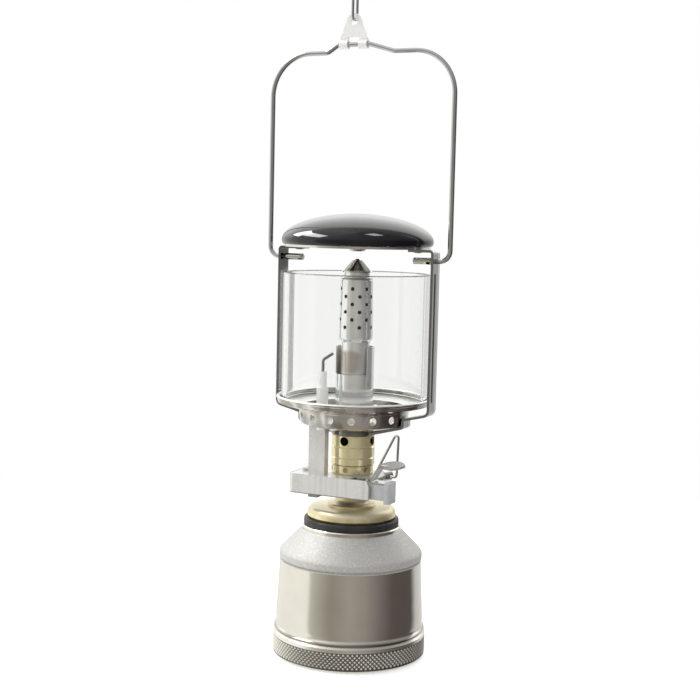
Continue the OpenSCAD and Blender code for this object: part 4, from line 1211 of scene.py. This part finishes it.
@dataclass
class Studio:
    """Floor, world, lamps and the camera at the photograph's view."""

    image_px: float = 700.0
    focal_px: float = 1352.0
    sensor_mm: float = 36.0
    nearest: float = 10.0 * MM
    azimuth: float = 25.0
    away: float = 545.0 * MM
    eye: float = 176.0 * MM
    pitch: float = 5.425
    yaw: float = 0.225
    roll: float = 1.32
    aim: Vector = field(default_factory=lambda: Vector((0.0, 0.0, 0.14)))
    floor_r: float = 2.4
    floor_drop: float = 0.2 * MM
    floor_sides: int = 96
    floor_tone: Colour = (0.85, 0.85, 0.85)
    floor_glow: float = 0.4
    floor_near: float = 0.16
    floor_far: float = 0.42
    back_glow: Colour = (1.7, 1.7, 1.67)
    white: Colour = (1.0, 1.0, 1.0)
    room: tuple[tuple[float, float | Colour], ...] = (
        (-180.0, 0.85),
        (-142.0, (1.0, 1.0, 0.96)),
        (-69.0, (1.0, 1.0, 0.96)),
        (-64.0, (0.57, 0.555, 0.5)),
        (-48.0, (0.43, 0.415, 0.37)),
        (-30.0, (0.3, 0.285, 0.25)),
        (0.0, (0.37, 0.35, 0.315)),
        (26.0, (0.31, 0.285, 0.265)),
        (49.0, (0.19, 0.167, 0.162)),
        (70.0, (0.105, 0.09, 0.088)),
        (114.0, (0.095, 0.082, 0.08)),
        (128.0, 0.6),
        (180.0, 0.85),
    )
    lamps: tuple[Lamp, ...] = (
        Lamp("window_lamp", -95.0, 0.55, 1.0, 0.8, 1.0, 6.0),
        Lamp("pane_lamp", -112.0, 1.0, 0.82, 0.9, 0.36, 4.6, True, Lights.REST),
        Lamp("left_pane", -119.0, 0.8, 0.82, 0.34, 0.46, 5.9, True, Lights.HOOD),
        Lamp("right_pane", -86.0, 0.96, 0.82, 0.66, 0.36, 8.5, True, Lights.HOOD),
        Lamp("spot_lamp", 56.0, 1.27, 0.37, 0.26, 0.3, 1.5, True, Lights.HOOD),
        Lamp("ceiling_lamp", 150.0, 1.1, 0.45, 0.9, 0.9, 6.0),
        Lamp("front_lamp", 20.0, 0.8, 1.1, 0.7, 0.7, 3.5),
    )
    ceiling: tuple[tuple[float, float], ...] = (
        (-180.0, 0.75),
        (-130.0, 1.0),
        (-60.0, 1.0),
        (-20.0, 0.62),
        (30.0, 0.44),
        (80.0, 0.34),
        (130.0, 0.5),
        (180.0, 0.75),
    )

    def side_on(self) -> tuple[Vector, Vector]:
        """Level directions from the lantern to the camera and to the camera's right."""
        turn = math.radians(self.azimuth)
        toward = Vector((math.sin(turn), -math.cos(turn), 0.0))
        right = Vector((math.cos(turn), math.sin(turn), 0.0))
        return toward, right

    def place_camera(self) -> None:
        """Sets up the camera as the photograph was taken."""
        toward, right = self.side_on()
        up = Vector((0.0, 0.0, 1.0))
        look = Matrix((right, up, toward)).transposed().to_4x4()
        tip = Matrix.Rotation(math.radians(self.yaw), 4, "Y")
        tip = tip @ Matrix.Rotation(-math.radians(self.pitch), 4, "X")
        tip = tip @ Matrix.Rotation(math.radians(self.roll), 4, "Z")
        lens = bpy.data.cameras.new("photo_camera")
        lens.sensor_fit = "HORIZONTAL"
        lens.sensor_width = self.sensor_mm
        lens.lens = self.focal_px / self.image_px * self.sensor_mm
        lens.clip_start = self.nearest
        camera = bpy.data.objects.new("photo_camera", lens)
        camera.matrix_world = Matrix.Translation(toward * self.away + up * self.eye) @ look @ tip
        bpy.context.scene.collection.objects.link(camera)
        bpy.context.scene.camera = camera

    def hang_lamps(self) -> None:
        """Places the lamps and turns them to the lantern."""
        toward, right = self.side_on()
        for lamp in self.lamps:
            light = bpy.data.lights.new(lamp.name, "AREA")
            light.shape = "RECTANGLE"
            light.size = lamp.width
            light.size_y = lamp.tall
            light.energy = lamp.power
            bearing = math.radians(lamp.bearing)
            level = toward * math.cos(bearing) + right * math.sin(bearing)
            spot = level * lamp.distance + Vector((0.0, 0.0, lamp.height))
            stand = bpy.data.objects.new(lamp.name, light)
            stand.location = spot
            stand.rotation_euler = (self.aim - spot).to_track_quat("-Z", "Y").to_euler()
            stand.visible_glossy = lamp.glints
            stand.visible_transmission = lamp.glints
            bpy.context.scene.collection.objects.link(stand)
            self.pick_pieces(stand, lamp)

    def pick_pieces(self, stand: bpy.types.Object, lamp: Lamp) -> None:
        """Keeps a lamp to the hood or off it, where it asks for that.

        Args:
            stand: the lamp's object.
            lamp: what was asked for.
        """
        if lamp.lights is Lights.ALL:
            return
        lit = bpy.data.collections.new(lamp.name)
        lit.objects.link(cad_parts["hood"])
        stand.light_linking.receiver_collection = lit
        if lamp.lights is Lights.REST:
            lit.collection_objects[0].light_linking.link_state = "EXCLUDE"

    def straight(self, canvas: Canvas) -> Value:
        """1 for what is seen directly or through the glass, and 0 for reflections."""
        rays = canvas.add("ShaderNodeLightPath").socket.node.outputs
        camera, through, glossy = (
            Value(canvas, rays[name])
            for name in ("Is Camera Ray", "Is Transmission Ray", "Glossy Depth")
        )
        return camera + through * glossy.ease(0.5, 0.4)

    def paint_world(self) -> None:
        """A pale room: bright on the window's side, dim on the other, white where seen."""
        world = bpy.data.worlds.new("studio_room")
        bpy.context.scene.world = world
        world.use_nodes = True
        canvas = Canvas(world.node_tree)
        way = canvas.add("ShaderNodeTexCoord", output="Generated")
        dot = {"operation": "DOT_PRODUCT"}
        front, side = (
            canvas.add("ShaderNodeVectorMath", dot, {0: way, 1: tuple(axis)}, "Value")
            for axis in self.side_on()
        )
        bearing = side.math("ARCTAN2", side, front) / (2 * math.pi) + 0.5
        walls, over = (
            canvas.add(
                "ShaderNodeValToRGB",
                {"stops": [(angle / 360.0 + 0.5, tone) for angle, tone in tones]},
                {0: bearing},
            )
            for tones in (self.room, self.ceiling)
        )
        rise = canvas.add("ShaderNodeSeparateXYZ", None, {0: way}, "Z")
        room = canvas.mix(rise.ease(0.1, 0.7), walls, over)
        mirrored = canvas.add("ShaderNodeLightPath", output="Is Glossy Ray")
        behind = front.ease(-0.42, -0.54) * rise.ease(0.0, 0.42)
        room = canvas.mix(behind * mirrored, room, self.back_glow)
        tone = canvas.mix(self.straight(canvas), room, self.white)
        backdrop = canvas.add("ShaderNodeBackground", None, {0: tone})
        canvas.add_output("ShaderNodeOutputWorld", backdrop)

    def lay_floor(self) -> None:
        """A round pale floor that keeps the lantern's shadow."""
        mesh = bpy.data.meshes.new("floor")
        shape = bmesh.new()
        bmesh.ops.create_circle(
            shape, cap_ends=True, radius=self.floor_r, segments=self.floor_sides
        )
        shape.to_mesh(mesh)
        shape.free()
        floor = bpy.data.objects.new("floor", mesh)
        floor.location.z = -self.floor_drop
        floor.visible_glossy = False
        floor.visible_transmission = False
        bpy.context.scene.collection.objects.link(floor)
        paint = bpy.data.materials.new("pale_floor")
        paint.use_nodes = True
        canvas = Canvas(paint.node_tree)
        matt = canvas.add("ShaderNodeBsdfDiffuse", None, {"Color": self.floor_tone})
        seen = self.straight(canvas)
        glow = canvas.add("ShaderNodeEmission", None, {"Strength": seen * self.floor_glow})
        near = canvas.add("ShaderNodeAddShader", None, {0: matt, 1: glow})
        white = canvas.add("ShaderNodeEmission", None, {"Strength": seen})
        away = canvas.radius().ease(self.floor_near, self.floor_far)
        floor_paint = canvas.add("ShaderNodeMixShader", None, {0: away * seen, 1: near, 2: white})
        canvas.add_output("ShaderNodeOutputMaterial", floor_paint)
        mesh.materials.append(paint)

    def build(self) -> None:
        """Sets the whole studio."""
        bpy.context.scene.view_settings.view_transform = "Standard"
        self.place_camera()
        self.paint_world()
        self.hang_lamps()
        self.lay_floor()


def main() -> None:
    """Dresses the lantern and sets the studio round it."""
    logging.basicConfig(level=logging.INFO, format="%(name)s: %(message)s")
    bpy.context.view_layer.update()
    Studio().build()
    for assembly in (Tank(), GasValve(), Igniter(), Globe(), Burner(), Hood(), Hanger()):
        assembly.dress()


if __name__ == "__main__":
    main()
